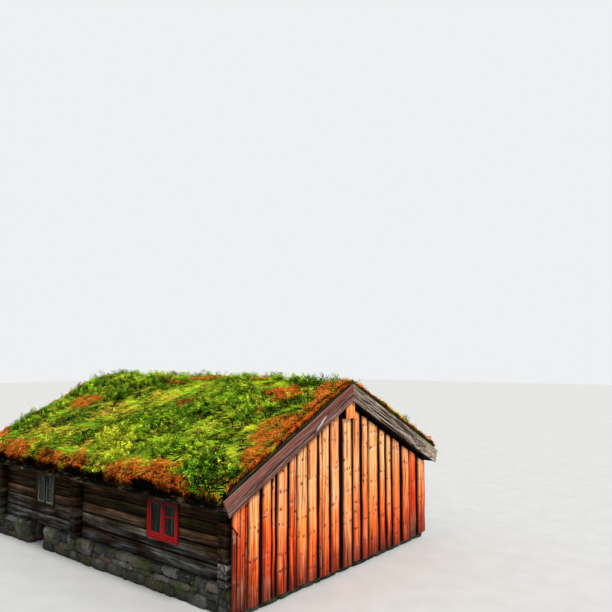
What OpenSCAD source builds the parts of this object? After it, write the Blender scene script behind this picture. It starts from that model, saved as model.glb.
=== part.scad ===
// Log summer-farm house with a turf roof, two rooms, on a dry-stone plinth.
// X runs along the ridge towards the boarded front gable, Y across the house, Z up.
// The origin is on the ground, in the middle of the plan.

/* [Log walls] */
// Length over the outer faces of the two gable log walls
house_len = 7640; // [6000:10:9000]
// Width over the outer faces of the two long log walls
house_w = 5700; // [4800:10:6600]
// Thickness of every log wall
log_t = 200; // [150:5:260]
// How far the gable and cross logs run past the long walls
gable_tail = 150; // [80:5:220]
// How far the long-wall logs run past the gable walls, up to the cladding
long_tail = 120; // [80:5:200]
// Centre of the cross wall, measured from the middle of the house
cross_x = -570; // [-1200:10:0]
// Height of the sill log
sill_h = 250; // [200:5:300]
// Height of the broad log above the sill
broad_h = 270; // [200:5:300]
// Mean height of the logs between the broad log and the plate
log_h = 190; // [150:5:260]
// Height of the plate log at the outer face of the long wall
plate_h = 280; // [200:5:320]
// Height of the long wall's outer face above the ground
wall_top = 1823; // [1650:1:2300]
// Opening of the groove between two logs, at the face of the wall
groove = 28; // [10:1:50]

/* [Stonework] */
// Height of the plinth and the piers, up to the sill
plinth_h = 450; // [300:10:520]
// Thickness of the plinth and the piers
plinth_t = 360; // [280:10:480]
// Width of the crawl gap between the piers of the rear room
crawl_w = 620; // [400:10:800]
// Centre of the crawl gap, measured from the rear gable wall's outer face
crawl_x = 1690; // [1200:10:1900]
// Width of the pier under the middle of the rear gable
mid_pier_w = 700; // [400:10:1000]

/* [Floors] */
// Thickness of the floor boards
floor_t = 32; // [22:1:45]
// Width of a floor joist
joist_w = 140; // [100:5:180]
// Mean spacing of the floor joists
joist_step = 820; // [600:10:1000]
// How far the joist beside the cross wall runs out past the long walls
joist_tail = 110; // [0:5:180]
// How far the joists of the front room are let into the plinth
joist_drop = 47; // [0:1:80]
// Depth of the pocket that holds the end of any other joist
joist_seat = 90; // [50:5:120]

/* [Roof] */
// Pitch of both roof slopes, in degrees
pitch = 25.8; // [20:0.1:35]
// How far the roof boards run past the long walls
eave_reach = 370; // [320:5:450]
// How far the bargeboards stand in front of the cladding
verge_reach = 155; // [130:5:220]
// Thickness of the roof boards, measured upright
deck_t = 31; // [22:1:45]
// Thickness of the birch bark, measured upright
bark_t = 10; // [6:1:16]
// Radius of the ridge purlin
ridge_r = 95; // [75:5:120]
// Radius of the side purlins
purlin_r = 85; // [65:5:110]
// Distance of the side purlins from the ridge
purlin_y = 1400; // [1000:10:1700]
// Depth of the flats hewn on the purlins for the roof boards
purlin_flat = 9; // [4:1:20]
// Radius of the eave log that holds the turf back
eave_log_r = 62; // [45:1:80]
// Radius of the pegs that hold the eave log
peg_r = 15; // [10:1:20]
// How far a peg stands out under the roof boards
peg_foot = 30; // [10:1:60]
// Spacing of the pegs
peg_step = 1150; // [800:10:1500]
// Distance of the eave log from the edge of the roof boards
eave_log_in = 50; // [40:1:80]

/* [Turf] */
// Thickness of the turf, measured upright
turf_t = 370; // [250:5:420]
// How much thinner the turf is at the verges
turf_fall = 50; // [0:5:90]
// Half height of the swells in the turf
turf_wave = 38; // [0:1:60]
// Length of the swells in the turf
turf_swell = 1900; // [1200:10:3000]
// How far the turf reaches out past the eave log's centre
turf_nose = 205; // [150:5:240]
// How far the turf's shoulder lies inside the eave log's centre
turf_shoulder_in = 60; // [20:5:120]
// Thickness of the turf's fringe in front of the eave log
turf_fringe = 25; // [15:1:50]
// How far the turf hangs down in front of the eave log
turf_lip = 45; // [20:1:60]
// Rounding of the turf along the ridge
ridge_round = 260; // [100:10:500]

/* [Gable boards] */
// Thickness of the boarded cladding
clad_t = 30; // [22:1:45]
// Height of the cladding's lower edge above the ground
clad_z = 100; // [60:5:200]
// Height of a nailing rail behind the cladding
rail_h = 70; // [50:5:110]
// Width of a bargeboard
barge_w = 285; // [200:5:320]
// Thickness of a bargeboard
barge_t = 30; // [22:1:40]
// Drop of a bargeboard's lower edge under the roof boards, measured upright
barge_drop = 16; // [0:1:60]
// How far a bargeboard's foot runs out past the long wall, at its top edge
barge_reach = 503; // [480:1:620]
// Thickness of the verge board behind a bargeboard
verge_t = 30; // [22:1:40]
// Height of the near verge boards above the bargeboards, measured upright
verge_rise_near = 55; // [20:1:120]
// Height of the far verge boards above the bargeboards, measured upright
verge_rise_far = 90; // [20:1:120]
// Width of the board that covers the end of the ridge purlin
end_board_w = 270; // [210:5:340]
// Drop of that board under the ridge
end_board_h = 350; // [240:5:420]
// Thickness of that board
end_board_t = 24; // [18:1:30]
// Gap between that board and the verge boards
end_board_gap = 10; // [4:1:20]
// How far the verge boards run out past the roof boards
verge_past = 20; // [0:5:60]

/* [Windows] */
// Width of the front room's windows over the casing
front_win_w = 840; // [600:10:1000]
// Centre of the front room's windows along the house
front_win_x = 2060; // [1400:10:2600]
// Width of the rear room's windows over the casing
rear_win_w = 740; // [560:10:900]
// Centre of the rear room's windows along the house
rear_win_x = -1910; // [-2400:10:-1600]
// Height of the windows' lower edge above the ground
win_z = 860; // [780:10:950]
// Width of the casing boards round a window
casing_w = 55; // [40:1:80]
// Thickness of the casing boards
casing_t = 22; // [15:1:35]
// Thickness of the frame's members
frame_w = 42; // [30:1:60]
// Depth of the frame in the wall
frame_d = 140; // [90:5:150]
// Width of a sash's members
sash_w = 38; // [26:1:50]
// Thickness of a sash
sash_t = 34; // [28:1:45]
// How far the sashes lie behind the face of the casing
sash_set = 12; // [4:1:25]
// Thickness of the panes
glass_t = 4; // [3:0.5:6]
// How far the frame's stop reaches in behind a sash or the door leaf
stop_w = 14; // [8:1:25]
// Depth of the groove that holds a pane
glass_seat = 8; // [5:1:12]

/* [Doors] */
// Width of the doorways in the log walls
door_w = 850; // [700:10:1000]
// Height of the doorways above the floor
door_h = 1560; // [1300:10:1750]
// Thickness of the door frame's members
door_frame_w = 50; // [35:1:70]
// Thickness of the door leaf
leaf_t = 42; // [30:1:60]
// Width of a ledge on the inside of the door
ledge_w = 110; // [80:5:150]
// Thickness of a ledge
ledge_t = 28; // [20:1:35]
// Distance of the ledges from the ends of the door leaf
ledge_inset = 200; // [120:10:300]

/* [Clearances] */
// Clearance round frames, sashes and the door leaf
fit_gap = 4; // [2:0.5:6]
// Clearance of a pane in its groove
glass_gap = 0.3; // [0.2:0.1:0.6]
// Clearance round logs and pegs that pass through a wall or a roof layer
hole_gap = 1; // [0.5:0.5:3]
// Clearance between the floor boards and the walls
floor_gap = 5; // [2:1:10]

/* [Hidden] */
$fn = 48;
far = 20000;
slope = tan(pitch);

// Faces of the walls, as distances from the middle of the house
long_out = house_w / 2;
long_in = long_out - log_t;
gable_out = house_len / 2;
gable_in = gable_out - log_t;
cross_lo = cross_x - log_t / 2;
cross_hi = cross_x + log_t / 2;
tail_y = long_out + gable_tail;
tail_x = gable_out + long_tail;

// Heights of the long-wall courses: sill, broad log, even logs, plate
plate_z = wall_top - plate_h;
broad_top = plinth_h + sill_h + broad_h;
even_n = max(1, round((plate_z - broad_top) / log_h));
even_h = (plate_z - broad_top) / even_n;
plate_top = ceil(wall_top + slope * log_t);
long_z = concat(
    [plinth_h, plinth_h + sill_h],
    [for (i = [0:even_n]) round(broad_top + i * even_h)],
    [plate_top]
);
long_n = len(long_z) - 1;
function course_h(i) = long_z[i + 1] - long_z[i];
function course_mid(i) = long_z[i] + course_h(i) / 2;
function notch_lo(i) = long_z[i] + course_h(i) / 4;
function notch_hi(i) = long_z[i + 1] - course_h(i) / 4;

// Roof lines: underside of the boards, top of the boards, top of the bark
roof_apex = wall_top + slope * long_out;
function under(y) = roof_apex - slope * abs(y);
deck_lift = deck_t;
bark_lift = deck_t + bark_t;

// Heights of the gable courses, half a course off those of the long walls
cross_head = round(course_mid(long_n - 1));
upper_n = max(1, round((roof_apex - cross_head) / log_h));
upper_h = (roof_apex - cross_head) / upper_n;
gable_z = concat(
    [plinth_h],
    [for (i = [0:long_n - 2]) course_mid(i)],
    [for (i = [0:upper_n]) round(cross_head + i * upper_h)]
);
gable_n = len(gable_z) - 1;

// Floor: level with the top of the gable sills
floor_top = course_mid(0);
joist_h = floor_top - floor_t - plinth_h;

// Verge: bargeboard outside, verge board behind it, then the roof layers
clad_x = tail_x + clad_t;
verge_x = clad_x + verge_reach;
roof_x = verge_x - barge_t - verge_t;
eave_y = long_out + eave_reach;
barge_y = long_out + barge_reach;
barge_top = barge_w / cos(pitch) - barge_drop;

// Heights of the purlins' centres
ridge_z = roof_apex - (ridge_r - purlin_flat) / cos(pitch);
purlin_z = under(purlin_y) - (purlin_r - purlin_flat) / cos(pitch);

// Eave log and its pegs
eave_log_y = eave_y - eave_log_in - eave_log_r;
eave_log_z = under(eave_log_y) + bark_lift + eave_log_r / cos(pitch);
peg_y = eave_log_y + eave_log_r + peg_r / 2;
peg_n = max(2, round(2 * roof_x / peg_step));
peg_xs = [for (i = [0:peg_n - 1]) -roof_x + (i + 0.5) * 2 * roof_x / peg_n];

// Joists
front_room = gable_in - cross_hi;
rear_room = cross_lo + gable_in;
front_joist_n = max(2, round(front_room / joist_step));
rear_joist_n = max(2, round(rear_room / joist_step));
front_joist_xs = [for (i = [0:front_joist_n - 1]) cross_hi + (i + 0.5) * front_room / front_joist_n];
rear_joist_xs = [for (i = [0:rear_joist_n - 1]) -gable_in + (i + 0.5) * rear_room / rear_joist_n];

// Doorways
door_top = floor_top + door_h;

// Plinth faces
plinth_out = long_out - log_t / 2 + plinth_t / 2;
plinth_in = plinth_out - plinth_t;
front_out = gable_out - log_t / 2 + plinth_t / 2;
front_in = front_out - plinth_t;
cross_plinth_lo = cross_x - plinth_t / 2;
cross_plinth_hi = cross_x + plinth_t / 2;
crawl_mid = crawl_x - gable_out;

// A box between two corners
module block(lo, hi) {
    translate(lo) cube(hi - lo);
}

// A profile in the Y-Z plane, drawn out along X
module along_x(x0, x1) {
    translate([x0, 0, 0]) rotate([90, 0, 90]) linear_extrude(x1 - x0) children();
}

// The space under the roof boards
module under_roof(half_x) {
    along_x(-half_x, half_x)
        polygon([[-2 * long_out, -1], [2 * long_out, -1], [2 * long_out, under(2 * long_out)],
            [0, roof_apex], [-2 * long_out, under(2 * long_out)]]);
}

// One hewn log of height h along X: flat faces, rounded edges
module log_x(x0, x1, y, z, h) {
    r = norm([log_t / 2, h / 2 - groove / 2]);
    intersection() {
        block([x0, y - log_t / 2, z], [x1, y + log_t / 2, z + h]);
        translate([x0, y, z + h / 2]) rotate([0, 90, 0]) cylinder(r = r, h = x1 - x0);
    }
}

// The same log along Y
module log_y(y0, y1, x, z, h) {
    rotate([0, 0, 90]) log_x(y0, y1, -x, z, h);
}

// Window opening in the near long wall
module window_hole(x, w) {
    hole = w / 2 - casing_w + frame_w;
    block([x - hole, -long_out - 1, win_z + casing_w - frame_w],
        [x + hole, -long_in + 1, plate_z]);
}

// The near long wall: stacked logs with notches for the crossing walls
module long_wall() {
    difference() {
        intersection() {
            union() {
                for (i = [0:long_n - 1])
                    log_x(-tail_x, tail_x, -(long_out + long_in) / 2, long_z[i], course_h(i));
            }
            under_roof(tail_x + 1);
        }
        for (x = [-gable_out, cross_lo, gable_in])
            for (i = [0:long_n - 1])
                block([x, -long_out - 1, i == 0 ? plinth_h - 1 : notch_hi(i - 1)],
                    [x + log_t, -long_in + 1, notch_lo(i)]);
        window_hole(front_win_x, front_win_w);
        window_hole(rear_win_x, rear_win_w);
        front_joists(hole_gap);
        rear_joists(hole_gap);
    }
}

// A gable or cross wall, centred on x, up to the roof boards
module transverse_wall(x) {
    difference() {
        intersection() {
            union() {
                for (j = [0:gable_n - 1])
                    log_y(-tail_y, tail_y, x, gable_z[j], gable_z[j + 1] - gable_z[j]);
            }
            under_roof(tail_x);
        }
        for (side = [0, 1]) mirror([0, side, 0]) {
            for (i = [0:long_n - 2])
                block([x - log_t, long_in, notch_lo(i)], [x + log_t, long_out, notch_hi(i)]);
            block([x - log_t, long_in, notch_lo(long_n - 1)], [x + log_t, long_out, far]);
            block([x - log_t, long_out - 1, cross_head], [x + log_t, tail_y + 1, far]);
        }
        purlin_holes(x - log_t, x + log_t);
    }
}

module purlin_holes(x0, x1) {
    along_x(x0, x1) {
        translate([0, ridge_z]) circle(r = ridge_r + hole_gap);
        for (s = [-1, 1])
            translate([s * purlin_y, purlin_z]) circle(r = purlin_r + hole_gap);
    }
}

module doorway(x0, x1) {
    block([x0, -door_w / 2, floor_top], [x1, door_w / 2, door_top]);
}

// Plinth and piers
module side_plinth() {
    difference() {
        block([cross_plinth_hi, -plinth_out, 0], [front_in, -plinth_in, plinth_h]);
        front_joists(hole_gap);
    }
}

module near_plinth() {
    color("#77756c") side_plinth();
}

module far_plinth() {
    color("#77756c") mirror([0, 1, 0]) side_plinth();
}

module front_plinth() {
    color("#77756c") block([front_in, -plinth_out, 0], [front_out, plinth_out, plinth_h]);
}

module cross_plinth() {
    color("#77756c")
        block([cross_plinth_lo, -plinth_out, 0], [cross_plinth_hi, plinth_out, plinth_h]);
}

module rear_piers() {
    color("#6f6e66") {
        for (side = [0, 1]) mirror([0, side, 0]) {
            block([-front_out, -plinth_out, 0], [crawl_mid - crawl_w / 2, -plinth_in, plinth_h]);
            block([crawl_mid + crawl_w / 2, -plinth_out, 0],
                [cross_plinth_lo, -plinth_in, plinth_h]);
        }
        block([-front_out, -mid_pier_w / 2, 0], [-front_in, mid_pier_w / 2, plinth_h]);
    }
}

// Log walls
module near_long_wall() {
    color("#5c3f2a") long_wall();
}

module far_long_wall() {
    color("#5c3f2a") mirror([0, 1, 0]) long_wall();
}

module front_gable_wall() {
    color("#5c3f2a") transverse_wall(gable_out - log_t / 2);
}

module rear_gable_wall() {
    color("#5c3f2a") difference() {
        transverse_wall(-gable_out + log_t / 2);
        doorway(-gable_out - 1, -gable_in + 1);
    }
}

// The cross wall, in four pieces round its open doorway
module cross_sill() {
    color("#5c3f2a") intersection() {
        transverse_wall(cross_x);
        block([cross_lo, -tail_y, 0], [cross_hi, tail_y, floor_top]);
    }
}

module near_cross_wall() {
    color("#5c3f2a") intersection() {
        transverse_wall(cross_x);
        block([cross_lo, -tail_y, floor_top], [cross_hi, -door_w / 2, door_top]);
    }
}

module far_cross_wall() {
    color("#5c3f2a") mirror([0, 1, 0]) intersection() {
        transverse_wall(cross_x);
        block([cross_lo, -tail_y, floor_top], [cross_hi, -door_w / 2, door_top]);
    }
}

module upper_cross_wall() {
    color("#5c3f2a") intersection() {
        transverse_wall(cross_x);
        block([cross_lo, -tail_y, door_top], [cross_hi, tail_y, far]);
    }
}

// Floors
// The front room's joists: round logs with a flat hewn on top for the boards.
// The first one runs through the walls. All are drawn with this gap round them.
module front_joists(gap) {
    axis_z = plinth_h - joist_drop + joist_w / 2;
    for (x = front_joist_xs) {
        reach = (x == front_joist_xs[0] ? long_out + joist_tail : long_in + joist_seat) + gap;
        intersection() {
            translate([x, -reach, axis_z]) rotate([-90, 0, 0])
                cylinder(d = joist_w + 2 * gap, h = 2 * reach);
            block([x - joist_w, -reach, 0], [x + joist_w, reach, plinth_h + joist_h]);
        }
    }
}

// The rear room's joists: squared, on the sills
module rear_joists(gap) {
    half = joist_w / 2 + gap;
    reach = long_in + joist_seat + gap;
    for (x = rear_joist_xs)
        block([x - half, -reach, plinth_h], [x + half, reach, plinth_h + joist_h]);
}

module floor_joists() {
    color("#6b5641") {
        front_joists(0);
        rear_joists(0);
    }
}

module floor_between(x0, x1) {
    block([x0 + floor_gap, -long_in + floor_gap, plinth_h + joist_h],
        [x1 - floor_gap, long_in - floor_gap, floor_top]);
}

module front_floor() {
    color("#8a6b48") floor_between(cross_hi, gable_in);
}

module rear_floor() {
    color("#8a6b48") floor_between(-gable_in, cross_lo);
}

// Roof frame
module ridge_purlin() {
    reach = roof_x - end_board_gap - end_board_t;
    color("#6a4a30") intersection() {
        translate([-reach, 0, ridge_z]) rotate([0, 90, 0]) cylinder(r = ridge_r, h = 2 * reach);
        under_roof(far / 2);
    }
}

module side_purlins() {
    color("#6a4a30") intersection() {
        for (s = [-1, 1])
            translate([-tail_x, s * purlin_y, purlin_z]) rotate([0, 90, 0])
                cylinder(r = purlin_r, h = 2 * tail_x);
        under_roof(far / 2);
    }
}

// A roof layer on the near slope, between two heights over the boards' underside
module roof_layer(lo, hi, y_end) {
    along_x(-roof_x, roof_x)
        polygon([[0, roof_apex + lo], [-y_end, under(y_end) + lo],
            [-y_end, under(y_end) + hi], [0, roof_apex + hi]]);
}

module pegs(r, z0, z1) {
    for (x = peg_xs) translate([x, -peg_y, z0]) cylinder(r = r, h = z1 - z0);
}

module roof_boards() {
    difference() {
        roof_layer(0, deck_lift, eave_y);
        pegs(peg_r + hole_gap, 0, roof_apex);
    }
}

module bark() {
    difference() {
        roof_layer(deck_lift, bark_lift, eave_y);
        pegs(peg_r + hole_gap, 0, roof_apex);
    }
}

module near_roof_boards() {
    color("#7a5a3c") roof_boards();
}

module far_roof_boards() {
    color("#7a5a3c") mirror([0, 1, 0]) roof_boards();
}

module near_bark() {
    color("#c9b79a") bark();
}

module far_bark() {
    color("#c9b79a") mirror([0, 1, 0]) bark();
}

// The eave log, with the pegs that keep it on the slope
module eave_log() {
    translate([-roof_x, -eave_log_y, eave_log_z]) rotate([0, 90, 0])
        cylinder(r = eave_log_r, h = 2 * roof_x);
    pegs(peg_r, under(peg_y) - peg_foot, eave_log_z + eave_log_r / 2);
}

module near_eave_log() {
    color("#7d6a52") eave_log();
}

module far_eave_log() {
    color("#7d6a52") mirror([0, 1, 0]) eave_log();
}

// Turf: rings of one profile across the slope, swelling gently along the house
turf_steps = 44;
turf_rows = 12;
function wave(d, share) = sin(360 * d / (turf_swell * share));
function swell(x, y) = turf_wave * (0.5 * wave(x + turf_swell / 9, 1)
    + 0.3 * wave(y + 0.4 * x, 0.7) + 0.2 * wave(x - 0.8 * y, 0.4));
function turf_depth(x) = turf_t - turf_fall * pow(abs(x) / roof_x, 6);
function turf_top(x, y) = roof_apex + bark_lift + turf_depth(x) + swell(x, y)
    - slope * (sqrt(y * y + ridge_round * ridge_round) - ridge_round);
turf_in = eave_log_y - eave_log_r - hole_gap;
turf_out = peg_y + peg_r + hole_gap;
turf_seat = eave_log_z + eave_log_r;
turf_edge = eave_log_y + turf_nose;
turf_shoulder = eave_log_y - turf_shoulder_in;
function lip_z(x) = turf_seat - turf_lip * (0.6 + 0.4 * wave(x + turf_swell / 5, 0.45));
function turf_ring(x, s) = let (
    low = lip_z(x),
    high = turf_top(x, s * turf_shoulder),
    waist = low + 0.25 * (high - low)
) concat(
    [[0, roof_apex + bark_lift], [turf_in, under(turf_in) + bark_lift],
        [turf_in, turf_seat], [turf_out, turf_seat], [turf_out, low],
        [turf_edge - turf_fringe, low]],
    [for (a = [0:15:75]) [
        turf_shoulder + (turf_edge - turf_shoulder) * cos(a),
        waist + (high - waist) * sin(a)]],
    [for (k = [0:turf_rows]) let (y = turf_shoulder * (1 - k / turf_rows))
        [y, turf_top(x, s * y)]]
);
turf_ring_n = 6 + 6 + turf_rows + 1;

module turf(s) {
    xs = [for (i = [0:turf_steps]) -roof_x + 2 * roof_x * i / turf_steps];
    points = [for (x = xs) for (p = turf_ring(x, s)) [x, s * p[0], p[1]]];
    n = turf_ring_n;
    sides = [for (i = [0:turf_steps - 1]) for (j = [0:n - 1]) let (
        a = i * n + j,
        b = i * n + (j + 1) % n
    ) each [[a, b, a + n], [b, b + n, a + n]]];
    caps = [[for (j = [n - 1:-1:0]) j], [for (j = [0:n - 1]) turf_steps * n + j]];
    faces = concat(sides, caps);
    polyhedron(points, s > 0 ? [for (f = faces) [for (k = [len(f) - 1:-1:0]) f[k]]] : faces);
}

module near_turf() {
    color("#6f8f2c") turf(-1);
}

module far_turf() {
    color("#6f8f2c") turf(1);
}

// Boarded gable: one panel with the rails that it is nailed to
top_rail_y = purlin_y / 2;
top_rail_z = under(top_rail_y) - 2 * rail_h;

module cladding() {
    difference() {
        union() {
            along_x(tail_x, clad_x)
                polygon([[-tail_y, clad_z], [tail_y, clad_z], [tail_y, under(tail_y)],
                    [0, roof_apex], [-tail_y, under(tail_y)]]);
            for (z = [plinth_h + sill_h / 2, plate_z])
                block([gable_out, -long_in, z], [tail_x, long_in, z + rail_h]);
            block([gable_out, -top_rail_y, top_rail_z], [tail_x, top_rail_y, top_rail_z + rail_h]);
        }
        along_x(gable_out - 1, clad_x + 1)
            translate([0, ridge_z]) circle(r = ridge_r + hole_gap);
    }
}

module front_cladding() {
    color("#d9783a") cladding();
}

module rear_cladding() {
    color("#d9783a") difference() {
        mirror([1, 0, 0]) cladding();
        doorway(-clad_x - 1, -gable_out + 1);
    }
}

// A board on the front near verge, between two heights over the roof line
module verge_strip(x0, x1, lo, hi) {
    top = under(barge_y) + hi;
    drop = (hi - lo) * cos(pitch);
    along_x(x0, x1)
        polygon([[0, roof_apex + lo], [0, roof_apex + hi], [-barge_y, top],
            [-barge_y + drop * sin(pitch), top - drop * cos(pitch)]]);
}

module bargeboard() {
    verge_strip(verge_x - barge_t, verge_x, -barge_drop, barge_top);
}

module verge_board(rise) {
    difference() {
        verge_strip(roof_x, roof_x + verge_t, 0, barge_top + rise);
        block([roof_x - 1, -far, 0], [verge_x, -eave_y - verge_past, far]);
    }
}

module front_near_bargeboard() {
    color("#5b4640") bargeboard();
}

module front_far_bargeboard() {
    color("#8b8378") mirror([0, 1, 0]) bargeboard();
}

module rear_near_bargeboard() {
    color("#7d756b") mirror([1, 0, 0]) bargeboard();
}

module rear_far_bargeboard() {
    color("#7d756b") mirror([1, 0, 0]) mirror([0, 1, 0]) bargeboard();
}

module front_near_verge_board() {
    color("#4d4136") verge_board(verge_rise_near);
}

module front_far_verge_board() {
    color("#4d4136") mirror([0, 1, 0]) verge_board(verge_rise_far);
}

module rear_near_verge_board() {
    color("#4d4136") mirror([1, 0, 0]) verge_board(verge_rise_near);
}

module rear_far_verge_board() {
    color("#4d4136") mirror([1, 0, 0]) mirror([0, 1, 0]) verge_board(verge_rise_far);
}

// Boards over the ends of the ridge purlin, fitted under the roof boards
module ridge_end_boards() {
    x1 = roof_x - end_board_gap;
    color("#e08040") intersection() {
        for (side = [0, 1]) mirror([side, 0, 0])
            block([x1 - end_board_t, -end_board_w / 2, roof_apex - end_board_h],
                [x1, end_board_w / 2, roof_apex]);
        under_roof(far / 2);
    }
}

// Windows: a frame with casing and middle post, two sashes, two panes.
// Each is drawn for the near wall; the far wall has the same in mirror image.
win_top = plate_z;
win_face = -long_out - casing_t;
function hole_half(w) = w / 2 - casing_w + frame_w - fit_gap;
frame_lo = win_z + casing_w - frame_w + fit_gap;
frame_hi = win_top - fit_gap;

module on_both_walls() {
    for (side = [0, 1]) mirror([0, side, 0]) children();
}

module window_frame(x, w) {
    hole = hole_half(w);
    difference() {
        union() {
            block([x - hole, -long_out, frame_lo], [x + hole, -long_out + frame_d, frame_hi]);
            block([x - w / 2, win_face, win_z], [x + w / 2, -long_out, win_top]);
        }
        both_lights(x) {
            light_hole(hole, frame_w, win_face - 1, stop_y);
            light_hole(hole, frame_w + stop_w, stop_y - 1, 0);
        }
    }
}

// The hole of one light, with the frame's members this wide beside it
module light_hole(hole, w, y0, y1) {
    block([w - frame_w / 2, y0, frame_lo + w], [hole - w, y1, frame_hi - w]);
}

// Inner and outer edge, foot and head of a sash
function sash_box(w) = [
    frame_w / 2 + fit_gap, hole_half(w) - frame_w - fit_gap,
    frame_lo + frame_w + fit_gap, frame_hi - frame_w - fit_gap];
sash_y = win_face + sash_set;
stop_y = sash_y + sash_t;
pane_y = sash_y + sash_t / 2 - glass_t / 2;

module sash(x, w) {
    b = sash_box(w);
    difference() {
        block([x + b[0], sash_y, b[2]], [x + b[1], sash_y + sash_t, b[3]]);
        block([x + b[0] + sash_w, sash_y - 1, b[2] + sash_w],
            [x + b[1] - sash_w, sash_y + sash_t + 1, b[3] - sash_w]);
        block([x + b[0] + sash_w - glass_seat, pane_y - glass_gap, b[2] + sash_w - glass_seat],
            [x + b[1] - sash_w + glass_seat, pane_y + glass_t + glass_gap,
                b[3] - sash_w + glass_seat]);
    }
}

module pane(x, w) {
    b = sash_box(w);
    edge = sash_w - glass_seat + glass_gap;
    block([x + b[0] + edge, pane_y, b[2] + edge], [x + b[1] - edge, pane_y + glass_t, b[3] - edge]);
}

module both_lights(x) {
    for (side = [0, 1]) translate([x, 0, 0]) mirror([side, 0, 0]) children();
}

module front_window_frames() {
    color("#8c2a1e") on_both_walls() window_frame(front_win_x, front_win_w);
}

module front_window_sashes() {
    color("#9c3022") on_both_walls() both_lights(front_win_x) sash(0, front_win_w);
}

module front_window_glass() {
    color("#28303a", 0.6) on_both_walls() both_lights(front_win_x) pane(0, front_win_w);
}

module rear_window_frames() {
    color("#8d8778") on_both_walls() window_frame(rear_win_x, rear_win_w);
}

module rear_window_sashes() {
    color("#b9b4a6") on_both_walls() both_lights(rear_win_x) sash(0, rear_win_w);
}

module rear_window_glass() {
    color("#28303a", 0.6) on_both_walls() both_lights(rear_win_x) pane(0, rear_win_w);
}

// Door in the rear gable
door_face = -clad_x - casing_t;
leaf_x = door_face + sash_set;

// The clear hole of the door frame, with its members this wide
module door_hole(w, x0, x1) {
    half = door_w / 2 - fit_gap - w;
    block([x0, -half, floor_top + w], [x1, half, door_top - fit_gap - w]);
}

module door_frame() {
    color("#6b5138") difference() {
        union() {
            block([-clad_x, -door_w / 2 + fit_gap, floor_top],
                [-gable_in, door_w / 2 - fit_gap, door_top - fit_gap]);
            block([door_face, -door_w / 2 - casing_w, floor_top - casing_w],
                [-clad_x, door_w / 2 + casing_w, door_top + casing_w]);
        }
        door_hole(door_frame_w, door_face - 1, leaf_x + leaf_t);
        door_hole(door_frame_w + stop_w, leaf_x, 0);
    }
}

module door_leaf() {
    half = door_w / 2 - 2 * fit_gap - door_frame_w;
    z0 = floor_top + door_frame_w + fit_gap;
    z1 = door_top - 2 * fit_gap - door_frame_w;
    back = leaf_x + leaf_t;
    ledge_half = half - 2 * stop_w;
    color("#7a5c3e") {
        block([leaf_x, -half, z0], [back, half, z1]);
        for (z = [z0 + ledge_inset, z1 - ledge_inset - ledge_w])
            block([back, -ledge_half, z], [back + ledge_t, ledge_half, z + ledge_w]);
    }
}

near_plinth();
far_plinth();
front_plinth();
cross_plinth();
rear_piers();
near_long_wall();
far_long_wall();
front_gable_wall();
rear_gable_wall();
cross_sill();
near_cross_wall();
far_cross_wall();
upper_cross_wall();
floor_joists();
front_floor();
rear_floor();
ridge_purlin();
side_purlins();
near_roof_boards();
far_roof_boards();
near_bark();
far_bark();
near_eave_log();
far_eave_log();
near_turf();
far_turf();
front_cladding();
rear_cladding();
front_near_bargeboard();
front_far_bargeboard();
rear_near_bargeboard();
rear_far_bargeboard();
front_near_verge_board();
front_far_verge_board();
rear_near_verge_board();
rear_far_verge_board();
ridge_end_boards();
front_window_frames();
front_window_sashes();
front_window_glass();
rear_window_frames();
rear_window_sashes();
rear_window_glass();
door_frame();
door_leaf();
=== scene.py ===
"""The looks of a log house with a turf roof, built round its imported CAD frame.

X runs along the ridge towards the boarded gable, Y across the house and Z up, in metres.
"""
import itertools
import math

import bpy
import numpy as np
from mathutils.bvhtree import BVHTree
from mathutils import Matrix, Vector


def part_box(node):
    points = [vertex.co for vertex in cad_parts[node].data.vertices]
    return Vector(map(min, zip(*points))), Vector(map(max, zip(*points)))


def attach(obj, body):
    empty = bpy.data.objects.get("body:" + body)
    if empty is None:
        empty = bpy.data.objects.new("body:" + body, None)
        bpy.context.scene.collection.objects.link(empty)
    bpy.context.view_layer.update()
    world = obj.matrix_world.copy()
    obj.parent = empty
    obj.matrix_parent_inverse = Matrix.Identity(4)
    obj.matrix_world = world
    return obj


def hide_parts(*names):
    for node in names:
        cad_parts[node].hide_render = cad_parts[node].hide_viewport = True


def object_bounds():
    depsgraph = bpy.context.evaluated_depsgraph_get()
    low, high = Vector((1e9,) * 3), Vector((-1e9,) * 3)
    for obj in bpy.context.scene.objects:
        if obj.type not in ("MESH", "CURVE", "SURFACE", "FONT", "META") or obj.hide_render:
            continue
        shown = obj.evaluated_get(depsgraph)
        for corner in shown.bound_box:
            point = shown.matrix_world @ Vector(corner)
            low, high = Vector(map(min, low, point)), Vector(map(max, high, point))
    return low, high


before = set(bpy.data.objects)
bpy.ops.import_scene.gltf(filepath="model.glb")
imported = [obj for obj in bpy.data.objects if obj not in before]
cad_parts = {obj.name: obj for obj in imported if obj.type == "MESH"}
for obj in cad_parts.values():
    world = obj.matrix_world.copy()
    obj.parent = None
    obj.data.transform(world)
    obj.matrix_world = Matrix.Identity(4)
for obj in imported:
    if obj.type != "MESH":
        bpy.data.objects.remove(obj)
cad_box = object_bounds()
scene = bpy.context.scene


def node_box(node):
    """Lowest and highest corner of a CAD node."""
    low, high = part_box(node)
    return np.array(low), np.array(high)


def node_points(node):
    """The corners of a CAD node's mesh."""
    return np.array([v.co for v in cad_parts[node].data.vertices])


def near_points(node):
    """The corners of a CAD node's mesh on the near side of the ridge."""
    points = node_points(node)
    return points[points[:, 1] < 0]


# Camera: solved from the photograph's own corners and vanishing points
PHOTO_SIDE = 612
FOCAL_PIXELS = 624.94
CAMERA_PLACE = (11.031, -9.890, 4.004)
CAMERA_TILT = 94.748
CAMERA_TURN = 39.274
SENSOR = 36.0

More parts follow.
